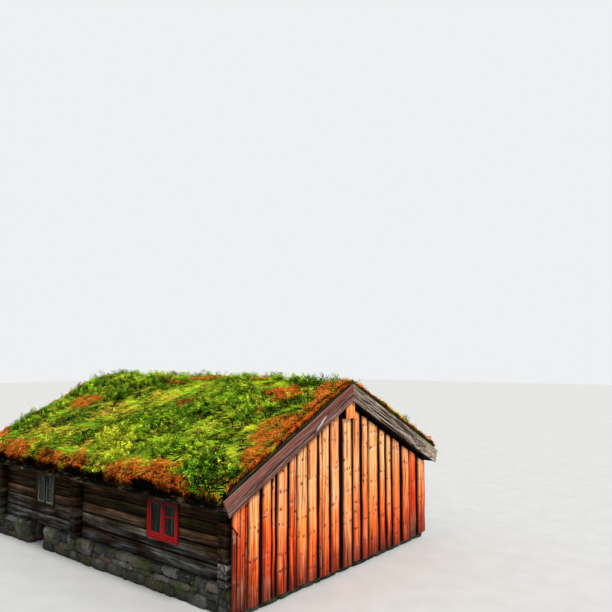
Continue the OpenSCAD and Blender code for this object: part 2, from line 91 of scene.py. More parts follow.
# Light: strength of the sky and of the sun, how wide the sun looks, and its tilt and turn
SKY = 0.85
KEY = 3.1
KEY_WIDE = 9
KEY_TILT = 44
KEY_TURN = 78

# Planes of the house, read from the frame
wall_low, wall_high = node_box("near_long_wall")
WALL_OUT, WALL_IN = -wall_low[1], -wall_high[1]
LOG = WALL_OUT - WALL_IN
TAIL_X = wall_high[0]
gable_low, gable_high = node_box("front_gable_wall")
GABLE_IN, GABLE_OUT, TAIL_Y = gable_low[0], gable_high[0], gable_high[1]
cross_low, cross_high = node_box("cross_sill")
boards_low, boards_high = node_box("near_roof_boards")
bark_low, bark_high = node_box("near_bark")
ROOF_X, EAVE = boards_high[0], -boards_low[1]
DECK = bark_low[2] - boards_low[2]
BARK = bark_high[2] - boards_high[2]
APEX = boards_high[2] - DECK
SLOPE = (APEX - boards_low[2]) / EAVE
BARGE_FACE = node_box("front_near_bargeboard")[1][0]
# Space between the two slopes' boards at the ridge
TOP_GAP = 0.003
CROSS_X = (cross_low[0] + cross_high[0]) / 2
GABLE_X = (GABLE_IN + GABLE_OUT) / 2
WALL_Y = (WALL_OUT + WALL_IN) / 2

# The two slopes and long walls, as (side of the Y axis, name)
SIDES = ((-1, "near"), (1, "far"))


def under(y):
    """Height of the roof boards' underside at a distance y from the ridge."""
    return APEX - SLOPE * np.abs(y)


# Noise that depends only on the place
def lattice(cell, seed):
    """A fixed random value from 0 to 1 for each whole-numbered place."""
    mixed = cell[..., 0] * 73856093 ^ cell[..., 1] * 19349663 ^ cell[..., 2] * 83492791 ^ seed * 39916801
    mixed = (mixed ^ (mixed >> 13)) * 1274126177 & 0x7FFFFFFF
    mixed = (mixed ^ (mixed >> 11)) * 668265263 & 0x7FFFFFFF
    return (mixed >> 7 & 0xFFFF) / 65535.0


def spots(*parts):
    """Points from separate coordinates, whose shapes are stretched to match."""
    return np.stack(np.broadcast_arrays(*[np.asarray(part, float) for part in parts]), -1)


def noise(places, size, seed, octaves=1):
    """Smooth noise from 0 to 1, with bumps about as large as size."""
    places = np.asarray(places, float)
    total, weight, reach = 0.0, 1.0, 0.0
    for octave in range(octaves):
        spot = places / size * 2**octave
        cell = np.floor(spot).astype(np.int64)
        part = spot - cell
        part = part * part * (3 - 2 * part)
        value = 0.0
        for corner in itertools.product((0, 1), repeat=3):
            share = np.where(corner, part, 1 - part).prod(axis=-1)
            value = value + share * lattice(cell + corner, seed + octave)
        total = total + weight * value
        reach += weight
        weight *= 0.5
    return total / reach


def swing(places, size, seed, octaves=1):
    """The same noise, from -0.5 to 0.5."""
    return noise(places, size, seed, octaves) - 0.5


def held(values):
    """values, held between 0 and 1."""
    return np.clip(values, 0, 1)


def unit(vectors):
    return vectors / (np.linalg.norm(vectors, axis=-1, keepdims=True) + 1e-9)


# Meshes
NO_QUADS = np.zeros((0, 4), int)


def new_mesh(name, points, quads, tris=(), smooth=True, flat_tris=False):
    """A mesh from arrays of points, four-sided faces and three-sided faces. flat_tris keeps the
    three-sided faces flat when the rest is smooth."""
    quads = np.asarray(quads, np.int32).reshape(-1, 4)
    tris = np.asarray(tris, np.int32).reshape(-1, 3)
    corners = np.concatenate([quads.ravel(), tris.ravel()])
    starts = np.concatenate([np.arange(len(quads)) * 4, len(quads) * 4 + np.arange(len(tris)) * 3])
    mesh = bpy.data.meshes.new(name)
    mesh.vertices.add(len(points))
    mesh.vertices.foreach_set("co", np.asarray(points, np.float32).ravel())
    mesh.loops.add(len(corners))
    mesh.loops.foreach_set("vertex_index", corners.astype(np.int32))
    mesh.polygons.add(len(starts))
    mesh.polygons.foreach_set("loop_start", starts.astype(np.int32))
    mesh.update(calc_edges=True)
    shade = np.full(len(starts), smooth)
    if flat_tris:
        shade[len(quads):] = False
    mesh.polygons.foreach_set("use_smooth", shade)
    return mesh


def give(mesh, name, kind, values):
    """Stores one value a point on a mesh, for its material to read."""
    layer = mesh.attributes.new(name, kind, "POINT")
    key = "color" if kind == "FLOAT_COLOR" else "vector"
    layer.data.foreach_set(key, np.asarray(values, np.float32).ravel())


def new_piece(name, mesh, material, slot, *nodes):
    """Puts a mesh in the scene, as part of the house, in place of some CAD nodes."""
    mesh.materials.append(material)
    piece = bpy.data.objects.new(name, mesh)
    scene.collection.objects.link(piece)
    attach(piece, "root")
    if nodes:
        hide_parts(*nodes)
    return piece


def faces_of(a, b, c, d):
    """Four-sided faces from four arrays of points' numbers."""
    return np.stack([a, b, c, d], -1).reshape(-1, 4)


def sheet_faces(front, back):
    """Faces of a closed sheet, from the point numbers of its two sides, each laid out as a grid."""
    rim, far = (np.concatenate([grid[:-1, 0], grid[-1, :-1], grid[:0:-1, -1], grid[0, :0:-1]])
                for grid in (front, back))
    return np.concatenate([
        faces_of(front[:-1, :-1], front[1:, :-1], front[1:, 1:], front[:-1, 1:]),
        faces_of(back[:-1, :-1], back[:-1, 1:], back[1:, 1:], back[1:, :-1]),
        faces_of(np.roll(rim, -1), rim, far, np.roll(far, -1))])


def joined(faces, points):
    """Faces of several sets of points, numbered anew for the sets in one."""
    starts = np.cumsum([0] + [len(part) for part in points[:-1]])
    return np.concatenate([part + start for part, start in zip(faces, starts)])


# What the middle of a bar's end counts as, between its heart and its edge
END_EDGE = 0.3


class Bars:
    """Gathers closed bars into one mesh, each with its own wood coordinates and tone."""

    def __init__(self, seed):
        self.random = np.random.default_rng(seed)
        self.points, self.quads, self.tris, self.wood, self.tone = [], [], [], [], []
        self.count = 0

    def add(self, rings, wood, tone, edge=0.0, turned=False):
        """Joins rings of points, of shape (rings, points, 3), into a closed bar. edge says how near
        each point lies to the bar's edge, from 0 to 1. turned rings run the other way round."""
        n, m = rings.shape[:2]
        edge = np.broadcast_to(edge, (n, m))
        if turned:
            rings, wood, edge = rings[:, ::-1], wood[:, ::-1], edge[:, ::-1]
        index = self.count + np.arange(n * m).reshape(n, m)
        across = np.roll(index, -1, axis=1)
        self.quads.append(faces_of(index[:-1], across[:-1], across[1:], index[1:]))
        first = self.count + n * m
        for centre, ring, turn in ((first, index[0], -1), (first + 1, index[-1], 1)):
            fan = np.stack([np.full(m, centre), ring, np.roll(ring, -1)], -1)
            self.tris.append(fan[:, ::turn])
        self.points += [rings.reshape(-1, 3), np.array([rings[0].mean(0), rings[-1].mean(0)])]
        away = self.random.uniform(0, 40, 3)
        local = np.concatenate([wood.reshape(-1, 3), [wood[0].mean(0), wood[-1].mean(0)]])
        self.wood.append(local + away)
        rim = np.append(edge.ravel(), [END_EDGE, END_EDGE])
        self.tone.append(np.column_stack([np.tile(tone, (n * m + 2, 1)), rim]))
        self.count += n * m + 2

    def bar(self, start, end, width, thick, out, tone=None, rough=0.003, bevel=0.004, step=0.12,
            shift=None):
        """A sawn or hewn bar. out is the way its broad face looks."""
        start, end, out = (np.asarray(v, float) for v in (start, end, out))
        length = np.linalg.norm(end - start)
        along = (end - start) / length
        side = np.cross(along, out)
        side /= np.linalg.norm(side)
        out = np.cross(side, along)
        t = np.linspace(0, 1, max(2, int(round(length / step)) + 1))
        wood = spots(t[:, None] * length, *bevelled(width, thick, bevel).T)
        u, v = wood[..., 1], wood[..., 2]
        seed = self.seed()
        u = u + rough * 2 * swing(wood + [0, seed, 0], 0.35, 1, 2) * np.sign(u)
        v = v + rough * swing(wood + [0, seed, 9], 0.25, 2, 2) * np.sign(v)
        rings = start + along * (t * length)[:, None, None] + side * u[..., None] + out * v[..., None]
        if shift is not None:
            rings = shift(rings)
        self.add(rings, wood, self.tones() if tone is None else tone)

    def plank(self, low, high, axis, **more):
        """A bar that fills a box and lies flat, along X (axis 0) or Y (axis 1)."""
        low, high = np.array(low), np.array(high)
        start, end = (low + high) / 2, (low + high) / 2
        start[axis], end[axis] = low[axis], high[axis]
        self.bar(start, end, (high - low)[1 - axis], (high - low)[2], (0, 0, 1), **more)

    def seed(self):
        return int(self.random.integers(1 << 20))

    def tones(self):
        return tuple(self.random.uniform(0, 1, 3))

    def piece(self, name, material, slot, *nodes, smooth=False):
        mesh = new_mesh(name, *map(np.concatenate, (self.points, self.quads, self.tris)), smooth, True)
        give(mesh, "wood", "FLOAT_VECTOR", np.concatenate(self.wood))
        give(mesh, "tone", "FLOAT_COLOR", np.concatenate(self.tone))
        return new_piece(name, mesh, material, slot, *nodes)


def member(bars, axis, first, second, front, back, **more):
    """A square bar between two opposite corners (along the wall, up), with its faces at two depths.
    axis says whether the wall runs along X (0) or Y (1)."""
    first, second = np.array(first), np.array(second)
    size = abs(second - first)
    run = int(size[0] <= size[1])
    ends = [(first + second) / 2, (first + second) / 2]
    ends[0][run], ends[1][run] = first[run], second[run]
    depth = (front + back) / 2
    places = [(end[0], depth, end[1]) if axis == 0 else (depth, *end) for end in ends]
    out = (0, -1, 0) if axis == 0 else (-1, 0, 0)
    bars.bar(*places, size[1 - run], back - front, out, **more)


def bevelled(width, thick, bevel):
    """Outline of a board's section, with its corners cut."""
    a, b = width / 2, thick / 2
    c = min(bevel, b * 0.45)
    return np.array([(a - c, -b), (a, -b + c), (a, b - c), (a - c, b),
                     (-a + c, b), (-a, b - c), (-a, -b + c), (-a + c, -b)])


def slab(width, thick, crown):
    """Outline of a slab sawn from the outside of a log: a rounded face and a flat back."""
    a, b = width / 2, thick / 2
    face = [(a * s, b - crown * abs(s)**2.4) for s in np.linspace(1, -1, 9)]
    return np.array([(a, -b), *face, (-a, -b)])


def hewn(height, points=20):
    """Outline of a hewn log's section, across and up: flat faces and rounded edges."""
    angle = 2 * np.pi * (np.arange(points) + 0.5) / points
    c, s = (np.sign(wave) * abs(wave)**(1 / 3) for wave in (np.cos(angle), np.sin(angle)))
    return LOG / 2 * c, height / 2 * s


# Materials
# Heights between which the windows' paint darkens, and between which it turns black, as painted
# shade under the eave
SHADE_FADE, SHADE_BLACK = (1.05, 1.65), (1.36, 1.58)
# Heights between which the soil's edge turns black, above the eave, as painted shade under the overhang
SOIL_SHADE = (2.00, 2.30)
# Wet wood in cracks and knots
WET = (0.012, 0.010, 0.008)
# A split in the near front bargeboard: where it is, how much steeper than level, and one over its reach
SPLIT_PLACE = (BARGE_FACE, -1.00, 2.845)
SPLIT_TURN = 0.70
SPLIT_SCALE = (1.5, 1 / 0.24, 1 / 0.028)


def dimmed(colour, amount):
    return tuple(amount * channel for channel in colour)


class Shade:
    """A node material, with short calls for the nodes that the house needs."""

    def __init__(self, name, roughness, specular):
        self.material = bpy.data.materials.new(name)
        self.material.use_nodes = True
        self.tree = self.material.node_tree
        self.surface = self.tree.nodes["Principled BSDF"]
        self.surface.inputs["Roughness"].default_value = roughness
        self.surface.inputs["Specular IOR Level"].default_value = specular

    def feed(self, socket, value):
        if isinstance(value, bpy.types.NodeSocket):
            self.tree.links.new(value, socket)
        elif value is not None:
            socket.default_value = value

    def node(self, kind, values=(), **settings):
        made = self.tree.nodes.new("ShaderNode" + kind)
        for key, value in settings.items():
            setattr(made, key, value)
        for key, value in dict(values).items():
            self.feed(made.inputs[key], value)
        return made

    def place(self):
        return self.node("TexCoord").outputs["Object"]

    def read(self, name, output="Color"):
        return self.node("Attribute", attribute_name=name).outputs[output]

    def scaled(self, vector, scale, shift=(0, 0, 0)):
        values = {"Vector": vector, "Scale": scale, "Location": shift}
        return self.node("Mapping", values).outputs["Vector"]

    def noise(self, vector, scale, detail, roughness=0.55, distortion=0.0):
        values = {"Vector": vector, "Scale": scale, "Detail": detail,
                  "Roughness": roughness, "Distortion": distortion}
        return self.node("TexNoise", values).outputs["Fac"]

    def ramp(self, value, *stops):
        made = self.node("ValToRGB", {"Fac": value})
        band = made.color_ramp.elements
        band[0].position, band[-1].position = stops[0][0], stops[-1][0]
        for place, colour in stops[1:-1]:
            band.new(place)
        for element, (place, colour) in zip(band, stops):
            element.color = (*colour, 1)
        return made.outputs["Color"]

    def mix(self, share, first, second, blend="MIX"):
        made = self.node("Mix", data_type="RGBA", blend_type=blend)
        for index, value in ((0, share), (6, first), (7, second)):
            if isinstance(value, tuple):
                value = (*value, 1)
            self.feed(made.inputs[index], value)
        return made.outputs[2]

    def math(self, operation, first, second=0.5, third=0.5):
        made = self.node("Math", operation=operation)
        for index, value in enumerate((first, second, third)):
            self.feed(made.inputs[index], value)
        return made.outputs[0]

    def band(self, value, low, high, start=0.0, end=1.0):
        """value moved from low...high to start...end, and held there."""
        values = {"Value": value, "From Min": low, "From Max": high, "To Min": start, "To Max": end}
        return self.node("MapRange", values).outputs["Result"]

    def vary(self, base, value, amount):
        """base, raised and lowered by amount as value goes from 0 to 1."""
        return self.math("MULTIPLY_ADD", self.math("SUBTRACT", value, 0.5), amount, base)

    def stain(self, colour, mask, strength, tint):
        """colour with tint over it, as strong as strength where mask is 1."""
        return self.mix(self.math("MULTIPLY", mask, strength), colour, tint)

    def part(self, vector, axis):
        return self.node("SeparateXYZ", {"Vector": vector}).outputs[axis]

    def bump(self, height, strength, distance):
        values = {"Height": height, "Strength": strength, "Distance": distance}
        return self.node("Bump", values).outputs["Normal"]

    def finish(self, colour, normal=None, roughness=None):
        self.feed(self.surface.inputs["Base Color"], colour)
        self.feed(self.surface.inputs["Normal"], normal)
        self.feed(self.surface.inputs["Roughness"], roughness)
        return self.material


class Grain:
    """What the wood materials share, from a bar's own coordinates: streaks, grain, cracks and knots."""

    def __init__(self, shade, knots, cracks, streaks=17):
        wood = shade.read("wood", "Vector")
        self.wood = wood
        self.bent = shade.noise(wood, 1.3, 2)
        self.soft = shade.noise(shade.scaled(wood, (0.8, streaks, streaks)), 1, 3, 0.68, 0.4)
        self.fine = shade.noise(shade.scaled(wood, (2.5, 95, 95)), 1, 5, 0.7)
        split = shade.noise(shade.scaled(wood, (0.55, 42, 42)), 1, 2, 0.5, 0.3)
        self.crack = shade.band(split, cracks, cracks + 0.06)
        cell = shade.node("TexVoronoi", {"Vector": wood, "Scale": 6.0})
        chosen = shade.part(cell.outputs["Color"], "X")
        chosen = shade.math("LESS_THAN", chosen, knots)
        self.knot = shade.math("MULTIPLY", chosen, shade.band(cell.outputs["Distance"], 0.10, 0.17, 1, 0))
        self.ring = shade.math("MULTIPLY", chosen, shade.band(cell.outputs["Distance"], 0.14, 0.34, 1, 0))
        tone = shade.node("Attribute", attribute_name="tone")
        parts = shade.node("SeparateColor", {"Color": tone.outputs["Color"]})
        self.red, self.green, self.blue = (parts.outputs[k] for k in ("Red", "Green", "Blue"))
        self.edge = tone.outputs["Alpha"]


def whorls(shade, grain):
    """Rings of knots across a board every few hands: how dark a knot is, and a pale painted highlight beside
    it.
    """
    wave = shade.noise(shade.scaled(grain.wood, (3, 8, 8)), 1, 2)
    along = shade.math("MULTIPLY_ADD", wave, 0.16, shade.part(grain.wood, "X"))
    spot = shade.noise(shade.scaled(grain.wood, (7, 26, 26)), 1, 2, 0.5)
    masks = []
    for shift, reach in ((0.0, 0.085), (0.034, 0.10)):
        near = shade.node("TexVoronoi", {"W": shade.math("ADD", along, shift), "Scale": 2.4},
                          voronoi_dimensions="1D")
        masks.append(shade.band(near.outputs["Distance"], reach * 0.45, reach, 1, 0))
    dark = shade.math("MULTIPLY", masks[0], shade.band(spot, 0.50, 0.60))
    some = shade.band(shade.noise(shade.scaled(grain.wood, (1.1, 0.7, 0.7)), 1, 1), 0.48, 0.60)
    pale = shade.math("MULTIPLY", masks[1], shade.math("MULTIPLY", shade.band(spot, 0.36, 0.52), some))
    return dark, pale


def gable_wood():
    """Orange pine slabs: peach at the top, red and then black with damp towards the ground."""
    shade = Shade("gable_boards", 0.6, 0.08)
    grain = Grain(shade, 0.42, 0.62)
    height = shade.part(shade.place(), "Z")
    level = shade.math("MULTIPLY_ADD", grain.soft, 2.0, height)
    level = shade.math("MULTIPLY_ADD", grain.red, 1.3, level)
    level = shade.band(level, 1.38, 3.86)
    colour = shade.ramp(level, (0.0, (0.16, 0.016, 0.004)), (0.16, (0.50, 0.038, 0.006)),
                        (0.38, (0.74, 0.078, 0.008)), (0.60, (0.90, 0.188, 0.024)),
                        (0.80, (0.96, 0.37, 0.095)), (1.0, (0.98, 0.54, 0.22)))
    warm = shade.ramp(grain.green, (0.0, (1.05, 0.84, 0.78)), (1.0, (1.0, 1.07, 0.98)))
    colour = shade.mix(1.0, colour, warm, "MULTIPLY")
    streak = shade.ramp(grain.soft, (0.30, (0.22, 0.05, 0.03)), (0.45, (0.90, 0.74, 0.64)),
                        (0.66, (1.14, 1.24, 1.50)))
    colour = shade.mix(0.93, colour, streak, "MULTIPLY")
    colour = shade.mix(shade.band(grain.fine, 0.36, 0.60, 0.5, 0.0), colour, (0.34, 0.036, 0.008))
    light = shade.math("MULTIPLY", shade.band(grain.bent, 0.48, 0.66), shade.band(grain.fine, 0.42, 0.58))
    colour = shade.stain(colour, light, 0.4, (0.92, 0.54, 0.29))
    dark, pale = whorls(shade, grain)
    # Painted highlights beside the knots, stronger higher up the gable.
    upper = shade.band(height, 0.8, 2.2, 0.05, 0.42)
    colour = shade.stain(colour, pale, upper, (0.98, 0.62, 0.46))
    colour = shade.stain(colour, dark, 0.85, (0.10, 0.010, 0.012))
    colour = shade.stain(colour, grain.ring, 0.5, (0.46, 0.045, 0.012))
    colour = shade.stain(colour, grain.knot, 0.85, (0.12, 0.012, 0.006))
    colour = shade.stain(colour, grain.crack, 0.85, (0.035, 0.006, 0.004))
    # Painted shade: each slab darkens along its rounded edges, towards the gaps between slabs.
    wear_and_shade = shade.vary(grain.edge, grain.soft, 0.9)
    colour = shade.mix(shade.band(wear_and_shade, 0.60, 0.96, 0, 0.95), colour, (0.055, 0.008, 0.004))
    damp = shade.vary(height, grain.soft, 1.8)
    colour = shade.mix(shade.band(damp, 0.06, 0.72, 0.86, 0), colour, (0.035, 0.008, 0.006))
    relief = shade.math("MULTIPLY_ADD", grain.crack, -1.4, grain.fine)
    relief = shade.math("MULTIPLY_ADD", grain.knot, 0.6, relief)
    return shade.finish(colour, shade.bump(relief, 0.6, 0.005), shade.band(grain.fine, 0.3, 0.7, 0.42, 0.7))


def stained_marks(shade, grain, colour):
    """A reddish upper edge, and a long pale split with a dark rim in the near front bargeboard."""
    streak = shade.vary(grain.edge, grain.soft, 0.7)
    colour = shade.mix(shade.band(streak, 0.55, 0.85, 0, 0.65), colour, (0.20, 0.060, 0.036))
    spot = shade.node("VectorMath", {0: shade.place(), 1: SPLIT_PLACE}, operation="SUBTRACT")
    turned = shade.node("Mapping", {"Vector": spot.outputs["Vector"], "Rotation": (-SPLIT_TURN, 0, 0)})
    turned = turned.outputs["Vector"]
    rough = shade.noise(shade.scaled(turned, (4, 9, 70)), 1, 4, 0.6)
    flat = shade.node("VectorMath", {0: turned, 1: SPLIT_SCALE}, operation="MULTIPLY")
    gap = shade.node("VectorMath", {0: flat.outputs["Vector"]}, operation="LENGTH").outputs["Value"]
    gap = shade.vary(gap, rough, 1.3)
    colour = shade.mix(shade.band(gap, 1.0, 1.45, 0.9, 0), colour, (0.018, 0.008, 0.006))
    pale = shade.ramp(rough, (0.36, (0.14, 0.10, 0.09)), (0.58, (0.66, 0.61, 0.58)))
    return shade.mix(shade.band(gap, 0.75, 0.95, 0.95, 0), colour, pale)


def flaked_foot(shade, grain, colour):
    """Bleached and flaking wood towards the board's foot, and a painted highlight along its upper edge."""
    height = shade.part(shade.place(), "Z")
    flake = shade.noise(shade.scaled(grain.wood, (9, 55, 55)), 1, 4, 0.65)
    low = shade.vary(shade.band(height, 1.9, 2.7, 0.62, 0), flake, 2.6)
    colour = shade.mix(shade.band(low, 0.50, 0.78, 0, 0.80), colour, (0.56, 0.46, 0.38))
    # Painted highlight: a pale line along the board's upper edge.
    rim = shade.vary(grain.edge, grain.fine, 1.5)
    return shade.mix(shade.band(rim, 0.85, 1.0, 0, 0.6), colour, (0.50, 0.40, 0.29))


def weathered_wood(name, dark, middle, light, moss=0.0, contrast=1.0, streaks=17, cracks=0.64,
                   marks=None, top=None):
    """Old timber that nothing covers, from three colours. marks adds more, and top is a colour painted on
    the faces that look up, as light and shade fall on a board's top edge."""
    shade = Shade(name, 0.9, 0.03)
    grain = Grain(shade, 0.2, cracks, streaks)
    level = shade.vary(0.5, grain.soft, 1.7 * contrast)
    level = shade.vary(level, grain.red, 0.7 * contrast)
    level = shade.vary(level, grain.fine, 2.0 * contrast)
    colour = shade.ramp(level, (0.12, dark), (0.5, middle), (0.88, light))
    colour = shade.stain(colour, grain.ring, 0.4, dark)
    colour = shade.stain(colour, grain.knot, 0.8, WET)
    colour = shade.stain(colour, grain.crack, 0.85, WET)
    up = shade.part(shade.node("NewGeometry").outputs["Normal"], "Z")
    if moss:
        patch = shade.noise(shade.place(), 7, 6, 0.65)
        patch = shade.math("MULTIPLY_ADD", up, 0.18, patch)
        patch = shade.band(patch, 0.66 - 0.16 * moss, 0.74 - 0.12 * moss)
        green = shade.ramp(grain.fine, (0.3, (0.03, 0.035, 0.012)), (0.7, (0.10, 0.11, 0.025)))
        colour = shade.stain(colour, patch, 0.85, green)
    if marks:
        colour = marks(shade, grain, colour)
    # Painted light and shade on the faces that look up.
    if top:
        colour = shade.mix(shade.band(up, 0.6, 0.8, 0, 0.8), colour, top)
    relief = shade.math("MULTIPLY_ADD", grain.soft, 0.8, grain.fine)
    relief = shade.math("MULTIPLY_ADD", grain.crack, -1.6, relief)
    return shade.finish(colour, shade.bump(relief, 0.7, 0.006))


def log_wood():
    """Weathered wall logs, brown, and grey and reddish at the sill. Painted shade darkens them under
    the eaves, and painted light brightens each log's upper face.
    """
    shade = Shade("wall_logs", 0.9, 0.03)
    grain = Grain(shade, 0.14, 0.645)
    place = shade.place()
    height = shade.part(place, "Z")
    broad = shade.noise(shade.scaled(place, (1.0, 1.0, 2.6)), 1.5, 3, 0.6)
    level = shade.vary(0.42, grain.soft, 1.25)
    level = shade.vary(level, broad, 0.9)
    level = shade.vary(level, grain.fine, 0.5)
    level = shade.vary(level, grain.red, 0.26)
    brown = shade.ramp(level, (0.10, (0.0045, 0.0028, 0.0010)), (0.42, (0.0205, 0.0130, 0.0045)),
                       (0.66, (0.053, 0.034, 0.0115)), (0.92, (0.125, 0.086, 0.032)))
    red = shade.ramp(level, (0.12, (0.012, 0.0042, 0.0030)), (0.45, (0.055, 0.018, 0.0095)),
                     (0.70, (0.145, 0.054, 0.027)), (0.95, (0.28, 0.15, 0.09)))
    grey = shade.ramp(level, (0.12, (0.009, 0.0085, 0.0075)), (0.42, (0.036, 0.036, 0.034)),
                      (0.64, (0.098, 0.104, 0.110)), (0.88, (0.30, 0.33, 0.37)))
    low_red = shade.math("MULTIPLY_ADD", shade.band(height, 1.0, 0.7, 0, 0.22), 1.0, grain.green)
    colour = shade.mix(shade.band(low_red, 0.30, 0.75), brown, red)
    low = shade.math("MULTIPLY_ADD", grain.blue, 0.10, shade.band(height, 0.62, 1.05, 0.95, 0.0))
    low = shade.math("MULTIPLY", low, shade.band(broad, 0.36, 0.50))
    colour = shade.mix(shade.math("MINIMUM", low, 0.92), colour, grey)
    # Painted light and shade: each log is lighter along its upper face and darker along its lower face.
    upper = shade.vary(grain.edge, grain.soft, 1.2)
    lift = shade.ramp(upper, (0.25, (0.62, 0.60, 0.58)), (0.62, (1.0, 1.0, 1.0)), (0.85, (1.5, 1.46, 1.26)))
    colour = shade.mix(1.0, colour, lift, "MULTIPLY")
    # Painted shade: the logs turn near black under the eave.
    colour = shade.mix(shade.band(height, 1.25, 1.75, 0, 0.62), colour, (0.0035, 0.0020, 0.0010))
    colour = shade.stain(colour, grain.knot, 0.8, (0.008, 0.005, 0.004))
    colour = shade.stain(colour, grain.crack, 0.9, (0.003, 0.002, 0.002))
    joint = shade.math("ABSOLUTE", shade.math("MULTIPLY_ADD", grain.edge, 2.0, -1.0))
    joint = shade.vary(joint, grain.soft, 0.35)
    colour = shade.mix(shade.band(joint, 0.78, 0.90, 0, 0.97), colour, (0.0020, 0.0013, 0.0008))
    relief = shade.math("MULTIPLY_ADD", grain.soft, 1.2, grain.fine)
    relief = shade.math("MULTIPLY_ADD", grain.crack, -2.0, relief)
    return shade.finish(colour, shade.bump(relief, 0.7, 0.007))


def painted_wood(name, colour, wear_and_shade, wear, shade_share):
    """Old paint, worn off along the grain and in the cracks, and darkened by painted shade under the eave."""
    shade = Shade(name, 0.6, 0.08)
    grain = Grain(shade, 0.05, 0.68)
    fleck = shade.noise(shade.place(), 60, 4, 0.7)
    gone = shade.math("MULTIPLY_ADD", fleck, 0.6, shade.math("MULTIPLY", grain.soft, 0.5))
    gone = shade.band(gone, 0.78 - wear, 0.84 - wear)
    dim = shade.ramp(grain.soft, (0.25, dimmed(colour, 0.6)), (0.75, dimmed(colour, 1.2)))
    mixed = shade.stain(dim, gone, 0.7, wear_and_shade)
    mixed = shade.stain(mixed, grain.crack, 0.7, dimmed(wear_and_shade, 0.2))
    height = shade.math("MULTIPLY_ADD", grain.soft, 0.15, shade.part(shade.place(), "Z"))
    # Painted shade: the paint darkens, then turns black, towards the eave.
    mixed = shade.mix(shade.band(height, *SHADE_FADE, 0, shade_share), mixed, dimmed(colour, 0.12))
    mixed = shade.mix(shade.band(height, *SHADE_BLACK, 0, 0.85), mixed, dimmed(colour, 0.03))
    relief = shade.math("MULTIPLY_ADD", gone, -0.6, grain.fine)
    return shade.finish(mixed, shade.bump(relief, 0.4, 0.002), shade.band(gone, 0, 1, 0.5, 0.85))


def stone_surface():
    """Grey field stones with dark damp feet, pale lichen and much moss."""
    shade = Shade("field_stone", 0.9, 0.2)
    place = shade.place()
    tone = shade.node("SeparateColor", {"Color": shade.read("tone")})
    broad = shade.noise(place, 3.5, 4, 0.6)
    rough = shade.noise(place, 55, 6, 0.7)
    level = shade.vary(broad, rough, 0.8)
    level = shade.vary(level, tone.outputs["Red"], 0.6)
    colour = shade.ramp(level, (0.15, (0.007, 0.007, 0.007)), (0.5, (0.040, 0.039, 0.036)),
                        (0.85, (0.155, 0.150, 0.142)))
    warm = shade.mix(0.5, colour, (0.13, 0.075, 0.045))
    colour = shade.mix(shade.band(tone.outputs["Green"], 0.7, 0.95), colour, warm)
    lichen = shade.band(shade.noise(place, 17, 5, 0.6), 0.61, 0.66)
    colour = shade.stain(colour, lichen, 0.55, (0.27, 0.28, 0.23))
    moss = shade.band(shade.noise(shade.scaled(place, (1, 1, 1), (7, 3, 1)), 4, 6, 0.7), 0.50, 0.60)
    green = shade.ramp(rough, (0.35, (0.012, 0.020, 0.004)), (0.65, (0.070, 0.095, 0.018)))
    colour = shade.stain(colour, moss, 0.85, green)
    height = shade.part(place, "Z")
    colour = shade.mix(shade.band(height, 0.0, 0.25, 0.7, 0), colour, (0.012, 0.013, 0.009))
    # Painted shade: the core between the stones is near black.
    shadow_core = shade.band(tone.outputs["Blue"], 0.0, 0.01, 1, 0)
    colour = shade.mix(shadow_core, colour, (0.004, 0.004, 0.003))
    return shade.finish(colour, shade.bump(rough, 0.6, 0.01))


def growth_surface():
    """Blades, leaves and moss: a point's palette place is how bright it is and its hue. That brightness
    carries painted light and shade as well as tone.
    """
    shade = Shade("roof_growth", 0.7, 0.05)
    spot = shade.node("UVMap", uv_map="OFBake").outputs["UV"]
    bright, hue = shade.part(spot, "X"), shade.part(spot, "Y")
    colour = shade.ramp(hue, (0.0, (0.010, 0.040, 0.004)), (0.13, (0.055, 0.21, 0.009)),
                        (0.27, (0.35, 0.66, 0.028)), (0.38, (0.68, 0.86, 0.036)), (0.50, (0.95, 0.84, 0.070)),
                        (0.60, (0.95, 0.56, 0.080)), (0.70, (0.90, 0.64, 0.26)), (0.79, (1.0, 0.34, 0.045)),
                        (0.88, (1.0, 0.175, 0.016)), (1.0, (0.20, 0.040, 0.008)))
    # Painted shade and light: near black at the darkest, brighter than the hue at the lightest.
    level = shade.ramp(bright, (0.0, (0.010, 0.015, 0.006)), (0.30, (0.14, 0.19, 0.08)),
                       (0.62, (1.0, 1.04, 0.90)), (1.0, (2.1, 2.05, 1.9)))
    colour = shade.mix(1.0, colour, level, "MULTIPLY")
    through = shade.node("BsdfTranslucent", {"Color": colour})
    both = shade.node("MixShader", {0: 0.24, 1: shade.surface.outputs[0], 2: through.outputs[0]})
    shade.tree.links.new(both.outputs[0], shade.tree.nodes["Material Output"].inputs["Surface"])
    return shade.finish(colour)


def turf_surface():
    """Dark soil and matted roots under the growth."""
    shade = Shade("turf_bed", 0.95, 0.0)
    place = shade.place()
    broad = shade.noise(place, 4, 5, 0.6)
    fine = shade.noise(place, 45, 5, 0.7)
    level = shade.vary(broad, fine, 0.7)
    colour = shade.ramp(level, (0.25, (0.003, 0.004, 0.001)), (0.5, (0.010, 0.015, 0.002)),
                        (0.75, (0.036, 0.052, 0.007)))
    height = shade.part(place, "Z")
    # Painted shade: the soil turns black at the turf's hanging edge.
    colour = shade.mix(shade.band(height, *SOIL_SHADE, 1, 0), colour, (0.0020, 0.0014, 0.0008))
    return shade.finish(colour, shade.bump(fine, 0.9, 0.02))


